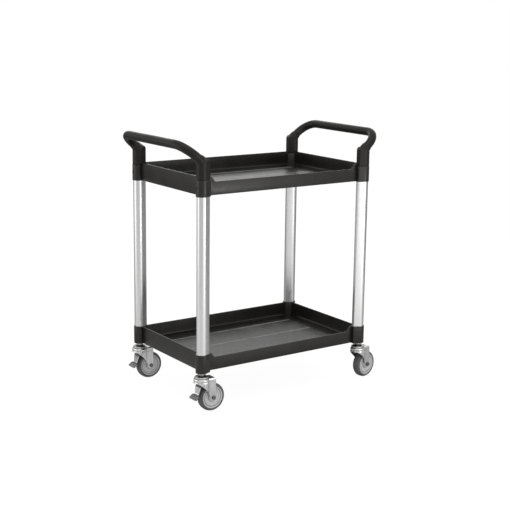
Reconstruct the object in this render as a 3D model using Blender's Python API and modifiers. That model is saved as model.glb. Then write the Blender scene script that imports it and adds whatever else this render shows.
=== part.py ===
"""Food service trolley: two moulded trays on four aluminium posts, two push handles, four swivel castors.

Metres, +Z up. X runs along the long side, Y along the short side with the low serving lip at -Y,
and the origin is on the floor under the middle of the trolley.
"""
import math

import bmesh
import bpy
from mathutils import Matrix, Vector

# ---------------------------------------------------------------- driving dimensions
GAP = 0.0003                    # clearance between pieces that touch

POST_X = 0.350                  # post axes, half spacing along the long side
POST_Y = 0.2185                 # post axes, half spacing along the short side
POST_RADIUS = 0.0183
POST_BORE = 0.0163
POST_LUG_REACH = 0.0280         # the extruded ear that keys the post in its collars
POST_LUG_HALF = 0.0065
POST_BOTTOM = 0.1485
POST_TOP = 0.8152

TRAY_LENGTH = 0.696
TRAY_WIDTH = 0.430
TRAY_HEIGHT = 0.064
LIP_HEIGHT = 0.046              # low wall on the serving side
LIP_RAMP_TOP = 0.312            # half length of the opening above the lip, at the rim
LIP_RAMP_FOOT = 0.292           # and at the lip
WALL = 0.0045
FLOOR_TOP = 0.013               # floor surface above the tray's lower edge
FLOOR_THICKNESS = 0.0035
COVE_RADIUS = 0.006
BEAD_Y = 0.136                  # three raised beads, one in the middle, divide the floor in planks
BEAD_HALF_LENGTH = 0.285
BEAD_WIDTH = 0.0050
BEAD_HEIGHT = 0.0009
LOWER_TRAY_Z = 0.143
UPPER_TRAY_Z = 0.759
COLLAR_RADIUS = 0.0210
COLLAR_LUG_REACH = 0.0306
COLLAR_LUG_HALF = 0.0092
COLLAR_SKIRT = 0.0010           # a collar stands this far below the tray's edge, the lower one also above
UPPER_COLLAR_DROP = 0.0075      # the upper collar ends this far below the rim, under the handle leg

HANDLE_RADIUS = 0.0160
HANDLE_REACH = 0.0670           # grip bar outboard of the post axis
HANDLE_BEND_Z = 0.8760
HANDLE_BAR_Z = 0.9314
HANDLE_CORNER = 0.064
HANDLE_BEND_RADIUS = 0.024
HANDLE_SWELL = 1.10             # the tube is this much fuller where it leaves the leg
LEG_RADIUS = 0.0202
LEG_LUG_REACH = 0.0285
LEG_LUG_HALF = 0.0090
SPIGOT_RADIUS = 0.0158
SPIGOT_BOTTOM = 0.7720
SCREW_Z = 0.7890                # handle screws, through collar, post and spigot
SCREW_RADIUS = 0.0021
SCREW_HEAD_RADIUS = 0.0042
SCREW_HEAD_HEIGHT = 0.0022

WHEEL_RADIUS = 0.050
TRAIL = 0.038                   # axle behind the swivel axis
CASTOR_TURN = {"front_right": math.radians(12.0)}   # how far a castor stands swivelled at rest
TYRE_HALF_WIDTH = 0.0160
TYRE_INNER = 0.0402
CORE_BORE = 0.0064
CORE_RIM_HALF_WIDTH = 0.0125
CORE_WEB_HALF_WIDTH = 0.0092
CORE_HUB_RADIUS = 0.0145
CORE_HUB_HALF_WIDTH = 0.0165
CHEEK_INNER = 0.0180
CHEEK_OUTER = 0.0204
FORK_TOP = 0.1236
FORK_PLATE = 0.0030
NOSE_RADIUS = 0.0285
NOSE_ROUND = 0.0050             # rounding of the pressed fork's upper edge
FLARE_START = 0.0080            # the nose's round ends here, behind the swivel axis
FLARE_END = 0.0235              # and the straight cheeks start here
CHEEK_AHEAD = 0.0130            # the cheek's end reaches this far round the axle: ahead,
CHEEK_BEHIND = 0.0090           # behind
CHEEK_BELOW = 0.0105            # and below it
STEM_RADIUS = 0.0058
STEM_TOP = 0.1900
STEM_FLANGE_RADIUS = 0.0125
STEM_FLANGE_HEIGHT = 0.0065
STEM_RIVET_RADIUS = 0.0095
CAP_RADIUS = 0.0250
CAP_RIM = 0.0040                # height of the cap's upright rim
RACE_RADIUS = 0.0125            # circle on which the balls of the swivel run
BALL_RADIUS = 0.0021
AXLE_RADIUS = 0.0039
BOLT_HEAD_RADIUS = 0.0068
BOLT_HEAD_HEIGHT = 0.0044
BOLT_OVERHANG = 0.0068          # thread that stands out of the far cheek
NUT_RADIUS = 0.0075
NUT_THICKNESS = 0.0060
PIVOT_X = -0.0060               # brake pivot, from the swivel axis
PIVOT_Z = 0.1010
PIVOT_PIN = 0.0027
PIVOT_HALF_LENGTH = 0.0286
LEVER_TOP_HALF_WIDTH = 0.0195
LEVER_HALF_WIDTH = 0.0115       # where the arm meets the tongue
LEVER_HUB_RADIUS = 0.0052
LEVER_HUB_HALF_WIDTH = 0.0225
TONGUE_HALF_WIDTH = 0.0235
TONGUE_TOP = -0.0345            # below the pivot
LEVER_THICKNESS = 0.0024

CORNERS = {                     # name: side along X, side along Y
    "front_left": (-1, -1),
    "front_right": (1, -1),
    "rear_left": (-1, 1),
    "rear_right": (1, 1),
}
BRAKED = ("front_left", "rear_left")
POST_SHAPE = (POST_RADIUS, POST_LUG_REACH, POST_LUG_HALF)
COLLAR_SHAPE = (COLLAR_RADIUS, COLLAR_LUG_REACH, COLLAR_LUG_HALF)
LEG_SHAPE = (LEG_RADIUS, LEG_LUG_REACH, LEG_LUG_HALF)

for old in list(bpy.data.objects):
    bpy.data.objects.remove(old, do_unlink=True)

trolley = bpy.data.collections.new("food_service_trolley")
cutters = bpy.data.collections.new("trolley_cutters")
bpy.context.scene.collection.children.link(trolley)
bpy.context.scene.collection.children.link(cutters)


# ---------------------------------------------------------------- materials
def principled(name, colour, roughness, metallic=0.0):
    made = bpy.data.materials.new(name)
    made.use_nodes = True
    shader = made.node_tree.nodes["Principled BSDF"]
    shader.inputs["Base Color"].default_value = (*colour, 1.0)
    shader.inputs["Roughness"].default_value = roughness
    shader.inputs["Metallic"].default_value = metallic
    return made


TRAY_PLASTIC = principled("black_tray_plastic", (0.035, 0.035, 0.033), 0.45)
HANDLE_PLASTIC = principled("black_handle_plastic", (0.022, 0.022, 0.021), 0.50)
ALUMINIUM = principled("anodised_aluminium", (0.78, 0.78, 0.77), 0.28, 1.0)
ZINC = principled("zinc_plated_steel", (0.62, 0.63, 0.63), 0.30, 1.0)
BRIGHT_STEEL = principled("bright_steel", (0.72, 0.72, 0.71), 0.18, 1.0)
CORE_PLASTIC = principled("grey_wheel_plastic", (0.42, 0.42, 0.42), 0.45)
TYRE_RUBBER = principled("dark_grey_rubber", (0.085, 0.085, 0.09), 0.70)
PLUG_PLASTIC = principled("black_nylon", (0.03, 0.03, 0.03), 0.55)
PAD_RUBBER = principled("brake_pad_rubber", (0.03, 0.03, 0.03), 0.80)


# ---------------------------------------------------------------- building blocks
def place(obj, material=None, parent=None):
    """Put a piece in the trolley's collection, or a tool among the cutters."""
    home = trolley if material else cutters
    home.objects.link(obj)
    if material:
        obj.data.materials.clear()
        obj.data.materials.append(material)
    else:
        obj.display_type = "WIRE"
        obj.hide_render = True
    if parent:
        obj.parent = parent
    return obj


def box(name, low, high, material=None, parent=None):
    low = Vector(low)
    high = Vector(high)
    mesh = bpy.data.meshes.new(name)
    bm = bmesh.new()
    size = Matrix.Diagonal((*(high - low), 1.0))
    bmesh.ops.create_cube(bm, size=1.0, matrix=Matrix.Translation((low + high) / 2) @ size)
    bm.to_mesh(mesh)
    bm.free()
    return place(bpy.data.objects.new(name, mesh), material, parent)


def cylinder(name, radius, bottom, top, centre=(0.0, 0.0), sides=24, material=None, parent=None):
    """An upright cylinder."""
    mesh = bpy.data.meshes.new(name)
    bm = bmesh.new()
    middle = Matrix.Translation((centre[0], centre[1], (bottom + top) / 2))
    bmesh.ops.create_cone(
        bm, cap_ends=True, segments=sides, radius1=radius, radius2=radius, depth=top - bottom, matrix=middle
    )
    bm.to_mesh(mesh)
    bm.free()
    shade_round(mesh)
    return place(bpy.data.objects.new(name, mesh), material, parent)


def cross_cylinder(name, radius, half_length, x, z, y=0.0, sides=16, material=None, parent=None):
    """A cylinder that lies along Y."""
    mesh = bpy.data.meshes.new(name)
    bm = bmesh.new()
    lie = Matrix.Translation((x, y, z)) @ Matrix.Rotation(math.pi / 2, 4, "X")
    bmesh.ops.create_cone(
        bm, cap_ends=True, segments=sides, radius1=radius, radius2=radius, depth=2 * half_length, matrix=lie
    )
    bm.to_mesh(mesh)
    bm.free()
    shade_round(mesh)
    return place(bpy.data.objects.new(name, mesh), material, parent)


def shade_round(mesh):
    mesh.shade_smooth()
    mesh.set_sharp_from_angle(angle=math.radians(35))


def outline_solid(name, points, half_depth, matrix, material=None, parent=None, holes=()):
    """A flat outline, filled and extruded both ways, as a welded mesh."""
    curve = bpy.data.curves.new(name, "CURVE")
    curve.dimensions = "2D"
    curve.fill_mode = "BOTH"
    curve.extrude = half_depth
    for ring in (points, *holes):
        spline = curve.splines.new("POLY")
        spline.points.add(len(ring) - 1)
        for point, (u, v) in zip(spline.points, ring):
            point.co = (u, v, 0.0, 1.0)
        spline.use_cyclic_u = True
    return curve_to_solid(name, curve, matrix, material, parent)


def curve_to_solid(name, curve, matrix, material=None, parent=None):
    guide = bpy.data.objects.new(name + "_curve", curve)
    bpy.context.scene.collection.objects.link(guide)
    bpy.context.view_layer.update()
    evaluated = guide.evaluated_get(bpy.context.evaluated_depsgraph_get())
    mesh = bpy.data.meshes.new_from_object(evaluated)
    bpy.data.objects.remove(guide, do_unlink=True)
    mesh.transform(matrix)
    mesh.name = name
    bm = bmesh.new()
    bm.from_mesh(mesh)
    bmesh.ops.remove_doubles(bm, verts=bm.verts, dist=1e-6)
    bmesh.ops.recalc_face_normals(bm, faces=bm.faces)
    bm.to_mesh(mesh)
    bm.free()
    shade_round(mesh)
    return place(bpy.data.objects.new(name, mesh), material, parent)


def turned(name, profile, steps, material, parent=None, along_y=False, location=(0.0, 0.0, 0.0)):
    """A turned piece. The closed profile (radius, height) runs down its outer side."""
    mesh = bpy.data.meshes.new(name)
    corners = [(radius, 0.0, height) for radius, height in profile]
    edges = [(i, (i + 1) % len(corners)) for i in range(len(corners))]
    mesh.from_pydata(corners, edges, [])
    obj = place(bpy.data.objects.new(name, mesh), material, parent)
    screw = obj.modifiers.new("turn", "SCREW")
    screw.steps = steps
    screw.render_steps = steps
    screw.use_merge_vertices = True
    screw.merge_threshold = 0.00001
    obj.location = location
    if along_y:
        obj.rotation_euler = (math.pi / 2, 0.0, 0.0)
    return obj


def boolean(target, tool, operation="DIFFERENCE"):
    modifier = target.modifiers.new(tool.name, "BOOLEAN")
    modifier.operation = operation
    modifier.solver = "EXACT"
    modifier.object = tool


def bevel(obj, width, segments, angle=40.0):
    modifier = obj.modifiers.new("round", "BEVEL")
    modifier.width = width
    modifier.segments = segments
    modifier.limit_method = "ANGLE"
    modifier.angle_limit = math.radians(angle)


def keyhole(radius, reach, half, side, sides=17):
    """A circle that tapers to a blunt ear at `side` along X, as (x, y) points."""
    chamfer = 0.0015
    shoulder = reach - chamfer
    start = math.atan2(half, shoulder) + math.acos(radius / math.hypot(half, shoulder))
    sweep = 2 * math.pi - 2 * start
    ring = [(reach, -half + chamfer), (reach, half - chamfer), (shoulder, half)]
    ring += [
        (radius * math.cos(start + sweep * i / sides), radius * math.sin(start + sweep * i / sides))
        for i in range(sides + 1)
    ]
    ring.append((shoulder, -half))
    return [(side * x, y) for x, y in ring]


def keyhole_solid(name, shape, side, bottom, top, centre, material=None, holes=()):
    """shape is (radius, ear reach, ear half width)."""
    lift = Matrix.Translation((centre[0], centre[1], (bottom + top) / 2))
    return outline_solid(name, keyhole(*shape, side), (top - bottom) / 2, lift, material, holes=holes)


def grown(shape, extra):
    return tuple(value + extra for value in shape)


# ---------------------------------------------------------------- posts
def circle(radius, sides):
    return [
        (radius * math.cos(2 * math.pi * i / sides), radius * math.sin(2 * math.pi * i / sides))
        for i in range(sides)
    ]


def make_post(corner, side, centre):
    post = keyhole_solid(
        f"post_{corner}", POST_SHAPE, -side, POST_BOTTOM, POST_TOP, centre, ALUMINIUM, [circle(POST_BORE, 18)]
    )
    hole = screw_hole(f"post_screw_hole_{corner}", SCREW_RADIUS + GAP, corner)
    boolean(post, hole)


# ---------------------------------------------------------------- handle screws
def screw_axis(corner):
    """The screws come from outside, across the short side, towards the middle of the trolley."""
    x_side, y_side = CORNERS[corner]
    turn = Matrix.Rotation(math.pi / 2 if x_side < 0 else -math.pi / 2, 4, "Y")
    return Matrix.Translation((x_side * POST_X, y_side * POST_Y, SCREW_Z)) @ turn


def screw_hole(name, radius, corner, inner=-0.003, outer=-0.060):
    """A cutter from inside the spigot out through the collar."""
    mesh = bpy.data.meshes.new(name)
    bm = bmesh.new()
    length = inner - outer
    shift = Matrix.Translation((0, 0, (inner + outer) / 2))
    bmesh.ops.create_cone(
        bm, cap_ends=True, segments=10, radius1=radius, radius2=radius, depth=length,
        matrix=screw_axis(corner) @ shift,
    )
    bm.to_mesh(mesh)
    bm.free()
    return place(bpy.data.objects.new(name, mesh))


def make_handle_screw(corner):
    """Black pan-head screw. Local -Z points out of the trolley."""
    seat = -(COLLAR_RADIUS + GAP)
    profile = [
        (0.0, -0.005),
        (SCREW_RADIUS, -0.005),
        (SCREW_RADIUS, seat),
        (SCREW_HEAD_RADIUS, seat),
        (SCREW_HEAD_RADIUS * 0.9, seat - SCREW_HEAD_HEIGHT * 0.7),
        (SCREW_HEAD_RADIUS * 0.5, seat - SCREW_HEAD_HEIGHT),
        (0.0, seat - SCREW_HEAD_HEIGHT),
    ]
    screw = turned(f"handle_screw_{corner}", profile, 8, PLUG_PLASTIC)
    screw.matrix_world = screw_axis(corner)


# ---------------------------------------------------------------- trays
def lip_outline(base):
    """The opening above the serving lip, as (x, z) points, with S-shaped ends."""
    low = base + LIP_HEIGHT
    high = base + TRAY_HEIGHT
    steps = 4
    ramp = []
    for i in range(steps + 1):
        t = i / steps
        ease = (1 - math.cos(math.pi * t)) / 2
        ramp.append((LIP_RAMP_FOOT + (LIP_RAMP_TOP - LIP_RAMP_FOOT) * t, low + (high - low) * ease))
    right = ramp + [(LIP_RAMP_TOP, high + 0.02)]
    left = [(-x, z) for x, z in reversed(right)]
    return left + right


def facing_y(y):
    """Stands an (x, z) outline up, with its thickness along Y, at this y."""
    return Matrix.Translation((0, y, 0)) @ Matrix.Rotation(math.pi / 2, 4, "X")


def cut_underside(tray, name, base):
    """Twelve pockets leave the stiffening ribs under the floor."""
    rib = 0.003
    depth = FLOOR_TOP - FLOOR_THICKNESS
    length = TRAY_LENGTH - 2 * COLLAR_LUG_REACH - 2 * WALL
    width = TRAY_WIDTH - 2 * WALL
    columns = 4
    rows = 3
    cell_x = (length - rib * (columns - 1)) / columns
    cell_y = (width - rib * (rows - 1)) / rows
    mesh = bpy.data.meshes.new(name + "_pockets")
    bm = bmesh.new()
    for i in range(columns):
        for j in range(rows):
            x = -length / 2 + cell_x / 2 + i * (cell_x + rib)
            y = -width / 2 + cell_y / 2 + j * (cell_y + rib)
            size = Matrix.Diagonal((cell_x, cell_y, 2 * depth, 1.0))
            bmesh.ops.create_cube(bm, size=1.0, matrix=Matrix.Translation((x, y, base)) @ size)
    bm.to_mesh(mesh)
    bm.free()
    boolean(tray, place(bpy.data.objects.new(mesh.name, mesh)))


def make_tray(name, base, upper):
    half_x = TRAY_LENGTH / 2
    half_y = TRAY_WIDTH / 2
    rim = base + TRAY_HEIGHT
    floor = base + FLOOR_TOP
    tray = box(name, (-half_x, -half_y, base), (half_x, half_y, rim), TRAY_PLASTIC)

    pocket = box(
        name + "_bowl",
        (-half_x + WALL, -half_y + WALL, floor),
        (half_x - WALL, half_y - WALL, rim + 2 * COVE_RADIUS),
    )
    bevel(pocket, COVE_RADIUS, 2)
    boolean(tray, pocket)
    lip_cut = outline_solid(name + "_lip_cut", lip_outline(base), 0.02, facing_y(-half_y))
    boolean(tray, lip_cut)
    cut_underside(tray, name, base)

    collar_top = rim - UPPER_COLLAR_DROP if upper else rim + COLLAR_SKIRT
    for corner, (x_side, y_side) in CORNERS.items():
        centre = (x_side * POST_X, y_side * POST_Y)
        label = f"{name}_{corner}"
        bottom = base - COLLAR_SKIRT
        if upper:
            leg_room = keyhole_solid(
                label + "_leg_room", grown(LEG_SHAPE, GAP), -x_side, collar_top, rim + 0.02, centre
            )
            boolean(tray, leg_room)
        collar = keyhole_solid(label + "_collar", COLLAR_SHAPE, -x_side, bottom, collar_top, centre)
        boolean(tray, collar, "UNION")
        hole_bottom = bottom - 0.01 if upper else POST_BOTTOM - GAP
        hole = keyhole_solid(
            label + "_post_hole", grown(POST_SHAPE, GAP), -x_side, hole_bottom, rim + 0.02, centre
        )
        boolean(tray, hole)
        if upper:
            boolean(tray, screw_hole(label + "_screw_hole", SCREW_RADIUS + GAP, corner))
        else:
            stem_hole = cylinder(label + "_stem_hole", STEM_RADIUS + GAP, bottom - 0.01, rim, centre, 16)
            boolean(tray, stem_hole)

    for row, y in (("front", -BEAD_Y), ("middle", 0.0), ("rear", BEAD_Y)):
        bead = box(
            f"{name}_bead_{row}",
            (-BEAD_HALF_LENGTH, y - BEAD_WIDTH / 2, floor - 0.001),
            (BEAD_HALF_LENGTH, y + BEAD_WIDTH / 2, floor + BEAD_HEIGHT),
        )
        boolean(tray, bead, "UNION")


# ---------------------------------------------------------------- handles
def lean_direction():
    """From the bend to the grip bar, outwards and up, for the handle at +X."""
    return Vector((HANDLE_REACH, 0.0, HANDLE_BAR_Z - HANDLE_BEND_Z))


def handle_path(side):
    """The centre line from one leg over the grip bar to the other leg, as (point, swell)."""
    run = lean_direction().length
    lean = lean_direction().normalized()
    bend = Vector((0.0, 0.0, HANDLE_BEND_Z))
    up = Vector((0.0, 0.0, 1.0))
    angle = up.angle(lean)
    tangent = HANDLE_BEND_RADIUS * math.tan(angle / 2)
    half = [(Vector((0.0, POST_Y, HANDLE_BEND_Z - 0.035)), HANDLE_SWELL)]
    steps = 3
    for i in range(steps + 1):
        turn = angle * i / steps
        centre = bend - up * tangent + Vector((HANDLE_BEND_RADIUS, 0.0, 0.0))
        arc = Vector((-HANDLE_BEND_RADIUS * math.cos(turn), POST_Y, HANDLE_BEND_RADIUS * math.sin(turn)))
        half.append((centre + arc, HANDLE_SWELL))
    steps = 5
    for i in range(steps + 1):
        turn = math.pi / 2 * i / steps
        along = run - HANDLE_CORNER + HANDLE_CORNER * math.sin(turn)
        inward = HANDLE_CORNER * (1 - math.cos(turn))
        half.append((bend + lean * along + Vector((0.0, POST_Y - inward, 0.0)), 1.0))
    path = half + [(Vector((p.x, -p.y, p.z)), swell) for p, swell in reversed(half)]
    return [(Vector((side * (POST_X + p.x), p.y, p.z)), swell) for p, swell in path]


def leg_cuts(name, side, centre):
    """Two cutters slope the leg's top: along the leaning tube inside, along the mitre outside."""
    lean = lean_direction().normalized()
    slope = math.asin(lean.z)
    mitre = math.acos(lean.z) / 2
    bend = Vector((centre[0], centre[1], HANDLE_BEND_Z))
    over_tube = Vector((-side * lean.z, 0.0, lean.x)) * (HANDLE_RADIUS * HANDLE_SWELL - 0.0006)
    planes = {"shoulder": (bend + over_tube, -side * slope), "mitre": (bend, side * mitre)}
    for label, (point, turn) in planes.items():
        cutter = box(f"{name}_{label}", (-0.08, -0.05, 0.0), (0.08, 0.05, 0.08))
        cutter.matrix_world = Matrix.Translation(point) @ Matrix.Rotation(turn, 4, "Y")
        yield cutter


def make_handle(name, side):
    curve = bpy.data.curves.new(name, "CURVE")
    curve.dimensions = "3D"
    curve.bevel_depth = HANDLE_RADIUS
    curve.bevel_resolution = 3
    curve.use_fill_caps = True
    spline = curve.splines.new("POLY")
    path = handle_path(side)
    spline.points.add(len(path) - 1)
    for point, (co, swell) in zip(spline.points, path):
        point.co = (*co, 1.0)
        point.radius = swell
    handle = curve_to_solid(name, curve, Matrix.Identity(4), HANDLE_PLASTIC)
    base = UPPER_TRAY_Z + TRAY_HEIGHT - UPPER_COLLAR_DROP + GAP
    for corner, (x_side, y_side) in CORNERS.items():
        if x_side != side:
            continue
        centre = (x_side * POST_X, y_side * POST_Y)
        leg = keyhole_solid(f"{name}_{corner}_leg", LEG_SHAPE, -x_side, base, HANDLE_BEND_Z + 0.03, centre)
        for cutter in leg_cuts(leg.name, side, centre):
            boolean(leg, cutter)
        boolean(handle, leg, "UNION")
        spigot = cylinder(f"{name}_{corner}_spigot", SPIGOT_RADIUS, SPIGOT_BOTTOM, base + 0.01, centre, 18)
        boolean(handle, spigot, "UNION")
        boolean(handle, screw_hole(f"{name}_{corner}_pilot", SCREW_RADIUS + GAP, corner))


# ---------------------------------------------------------------- castors
def make_socket(corner, centre):
    """The nylon plug in the post's lower end that grips the castor's stem."""
    top = STEM_TOP + 0.012
    low = POST_BOTTOM + 0.0002
    outer = POST_BORE - GAP
    bore = STEM_RADIUS + GAP
    profile = [(outer - 0.001, top), (outer, top - 0.002), (outer, low), (bore, low), (bore, top)]
    socket = turned(f"castor_socket_{corner}", profile, 14, PLUG_PLASTIC)
    socket.location = (*centre, 0.0)


def make_stem(corner, centre):
    """Stem with its seat ring under the collar and its riveted end inside the fork."""
    under = FORK_TOP - FORK_PLATE - GAP
    seat = LOWER_TRAY_Z - COLLAR_SKIRT - GAP
    ring_low = seat - STEM_FLANGE_HEIGHT
    profile = [
        (0.0, STEM_TOP),
        (STEM_RADIUS - 0.001, STEM_TOP),
        (STEM_RADIUS, STEM_TOP - 0.0015),
        (STEM_RADIUS, seat),
        (STEM_FLANGE_RADIUS, seat),
        (STEM_FLANGE_RADIUS, ring_low),
        (STEM_RADIUS, ring_low),
        (STEM_RADIUS, under),
        (STEM_RIVET_RADIUS, under),
        (STEM_RIVET_RADIUS - 0.0015, under - 0.0030),
        (0.0, under - 0.0030),
    ]
    stem = turned(f"castor_stem_{corner}", profile, 12, BRIGHT_STEEL)
    stem.location = (*centre, 0.0)


def make_bearing_cap(corner, centre):
    """The domed upper race, pressed on the stem above the fork."""
    low = FORK_TOP + GAP
    bore = STEM_RADIUS + GAP
    top = LOWER_TRAY_Z - COLLAR_SKIRT - STEM_FLANGE_HEIGHT - 2 * GAP
    profile = [
        (bore + 0.0030, top),
        (CAP_RADIUS * 0.55, top - 0.0010),
        (CAP_RADIUS * 0.87, top - 0.0046),
        (CAP_RADIUS, low + CAP_RIM),
        (CAP_RADIUS, low),
        (0.0158, low),
        (0.0150, low + 0.0048),
        (bore, low + 0.0048),
        (bore, top),
    ]
    cap = turned(f"bearing_cap_{corner}", profile, 16, BRIGHT_STEEL)
    cap.location = (*centre, 0.0)


def make_ball_ring(corner, swivel):
    """The swivel's ball race, as one ring between cap and fork."""
    low = FORK_TOP + GAP
    middle = low + BALL_RADIUS
    profile = [
        (RACE_RADIUS + 0.0022, middle),
        (RACE_RADIUS, low),
        (RACE_RADIUS - 0.0022, middle),
        (RACE_RADIUS, middle + BALL_RADIUS),
    ]
    turned(f"ball_ring_{corner}", profile, 14, BRIGHT_STEEL, swivel)


def fork_side():
    """The cheek's outline in the castor's own (x, z), with the round end at the axle."""
    rear = TRAIL + CHEEK_BEHIND
    outline = [
        (-0.0400, FORK_TOP + 0.01),
        (rear - 0.0050, FORK_TOP + 0.01),
        (rear - 0.0050, FORK_TOP),
        (rear, FORK_TOP - 0.0050),
    ]
    steps = 6
    for i in range(steps + 1):
        angle = math.radians(5) - math.radians(180) * i / steps
        reach = CHEEK_BEHIND if math.cos(angle) > 0 else CHEEK_AHEAD
        outline.append((TRAIL + reach * math.cos(angle), WHEEL_RADIUS + CHEEK_BELOW * math.sin(angle)))
    # the hollow front edge sweeps from the axle up to the nose
    foot = Vector((TRAIL - CHEEK_AHEAD - 0.001, WHEEL_RADIUS + 0.006))
    pull = Vector((0.0120, 0.0830))
    nose = Vector((-0.0225, FORK_TOP - 0.0166))
    steps = 5
    for i in range(steps + 1):
        t = i / steps
        point = foot * (1 - t) ** 2 + pull * 2 * t * (1 - t) + nose * t ** 2
        outline.append((point.x, point.y))
    outline.append((-0.0400, FORK_TOP - 0.0150))
    return outline


def fork_plan(inset, rear):
    """The fork seen from above: a round nose that narrows into two straight cheeks."""
    radius = NOSE_RADIUS - inset
    straight = CHEEK_OUTER - inset
    side = [(rear, straight), (FLARE_END, straight)]
    join = FLARE_START
    join_width = math.sqrt(radius ** 2 - join ** 2)
    for t in (0.66, 0.33):
        ease = (1 - math.cos(math.pi * t)) / 2
        side.append((join + (FLARE_END - join) * t, join_width + (straight - join_width) * ease))
    first = math.atan2(join_width, join)
    steps = 6
    for i in range(steps):
        angle = first + (math.pi - first) * i / steps
        side.append((radius * math.cos(angle), radius * math.sin(angle)))
    return side + [(-radius, 0.0)] + [(x, -y) for x, y in reversed(side)]


def make_fork(corner, swivel, braked):
    name = f"fork_{corner}"
    under = FORK_TOP - FORK_PLATE
    height = FORK_TOP - 0.03
    lift = Matrix.Translation((0, 0, FORK_TOP - height / 2))
    fork = outline_solid(name, fork_plan(0.0, 0.060), height / 2, lift, ZINC, swivel)
    bevel(fork, NOSE_ROUND, 2)
    side = outline_solid(name + "_side", fork_side(), 0.05, facing_y(0.0), parent=swivel)
    boolean(fork, side, "INTERSECT")
    hollow_plan = fork_plan(CHEEK_OUTER - CHEEK_INNER, 0.070)
    lift = Matrix.Translation((0, 0, under - height / 2))
    hollow = outline_solid(name + "_hollow", hollow_plan, height / 2, lift, parent=swivel)
    boolean(fork, hollow)
    stem_hole = cylinder(name + "_stem_hole", STEM_RADIUS + GAP, 0.11, 0.13, (0.0, 0.0), 16, parent=swivel)
    boolean(fork, stem_hole)
    axle_hole = cross_cylinder(name + "_axle_hole", AXLE_RADIUS + GAP, 0.03, TRAIL, WHEEL_RADIUS, parent=swivel)
    boolean(fork, axle_hole)
    if braked:
        pin_hole = cross_cylinder(
            name + "_pin_hole", PIVOT_PIN + GAP, 0.04, PIVOT_X, PIVOT_Z, sides=12, parent=swivel
        )
        boolean(fork, pin_hole)


def make_wheel(corner, spin):
    """Core and tyre, turned about the axle, which is the parent's Y axis."""
    tyre_profile = [
        (WHEEL_RADIUS, 0.0045),
        (WHEEL_RADIUS, -0.0045),
        (WHEEL_RADIUS - 0.0015, -0.0105),
        (WHEEL_RADIUS - 0.0060, -TYRE_HALF_WIDTH),
        (TYRE_INNER, -TYRE_HALF_WIDTH + 0.0015),
        (TYRE_INNER, TYRE_HALF_WIDTH - 0.0015),
        (WHEEL_RADIUS - 0.0060, TYRE_HALF_WIDTH),
        (WHEEL_RADIUS - 0.0015, 0.0105),
    ]
    turned(f"tyre_{corner}", tyre_profile, 28, TYRE_RUBBER, spin, along_y=True)
    rim = TYRE_INNER - GAP
    low_side = [
        (rim, -CORE_RIM_HALF_WIDTH),
        (rim - 0.0100, -CORE_RIM_HALF_WIDTH + 0.0005),
        (rim - 0.0115, -CORE_WEB_HALF_WIDTH),
        (CORE_HUB_RADIUS, -CORE_WEB_HALF_WIDTH),
        (CORE_HUB_RADIUS - 0.0015, -CORE_HUB_HALF_WIDTH),
        (CORE_BORE, -CORE_HUB_HALF_WIDTH),
    ]
    core_profile = low_side + [(radius, -height) for radius, height in reversed(low_side)]
    turned(f"wheel_core_{corner}", core_profile, 22, CORE_PLASTIC, spin, along_y=True)


def make_axle(corner, swivel):
    """Bolt, nut, and the sleeve that the wheel turns on."""
    centre = (TRAIL, 0.0, WHEEL_RADIUS)
    end = CHEEK_INNER - GAP
    sleeve_profile = [(CORE_BORE - GAP, end), (CORE_BORE - GAP, -end), (AXLE_RADIUS + GAP, -end),
                      (AXLE_RADIUS + GAP, end)]
    turned(f"axle_sleeve_{corner}", sleeve_profile, 14, BRIGHT_STEEL, swivel, along_y=True, location=centre)
    face = CHEEK_OUTER + GAP
    head_top = face + BOLT_HEAD_HEIGHT
    tip = face + BOLT_OVERHANG
    bolt_profile = [
        (0.0, head_top),
        (BOLT_HEAD_RADIUS - 0.0012, head_top),
        (BOLT_HEAD_RADIUS, head_top - 0.0010),
        (BOLT_HEAD_RADIUS, face),
        (AXLE_RADIUS, face),
        (AXLE_RADIUS, -tip),
        (0.0, -tip),
    ]
    turned(f"axle_bolt_{corner}", bolt_profile, 10, BRIGHT_STEEL, swivel, along_y=True, location=centre)
    thread = circle(AXLE_RADIUS + GAP, 12)
    middle = Matrix.Translation((TRAIL, face + NUT_THICKNESS / 2, WHEEL_RADIUS))
    lie = middle @ Matrix.Rotation(math.pi / 2, 4, "X")
    outline_solid(
        f"axle_nut_{corner}", circle(NUT_RADIUS, 6), NUT_THICKNESS / 2, lie, BRIGHT_STEEL, swivel, [thread]
    )


def lever_side():
    """The lever's edge view in (x, z) from the pivot: arm down in front of the tyre, tongue outwards."""
    middle = [
        Vector((-0.0028, -0.0026)),
        Vector((-0.0080, -0.0090)),
        Vector((-0.0105, -0.0200)),
        Vector((-0.0125, -0.0320)),
        Vector((-0.0150, -0.0365)),
        Vector((-0.0315, -0.0490)),
    ]
    left = []
    right = []
    for i, point in enumerate(middle):
        before = middle[max(i - 1, 0)]
        after = middle[min(i + 1, len(middle) - 1)]
        run = (after - before).normalized()
        normal = Vector((-run.y, run.x)) * LEVER_THICKNESS / 2
        left.append(point + normal)
        right.append(point - normal)
    return [(p.x, p.y) for p in left + right[::-1]]


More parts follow.
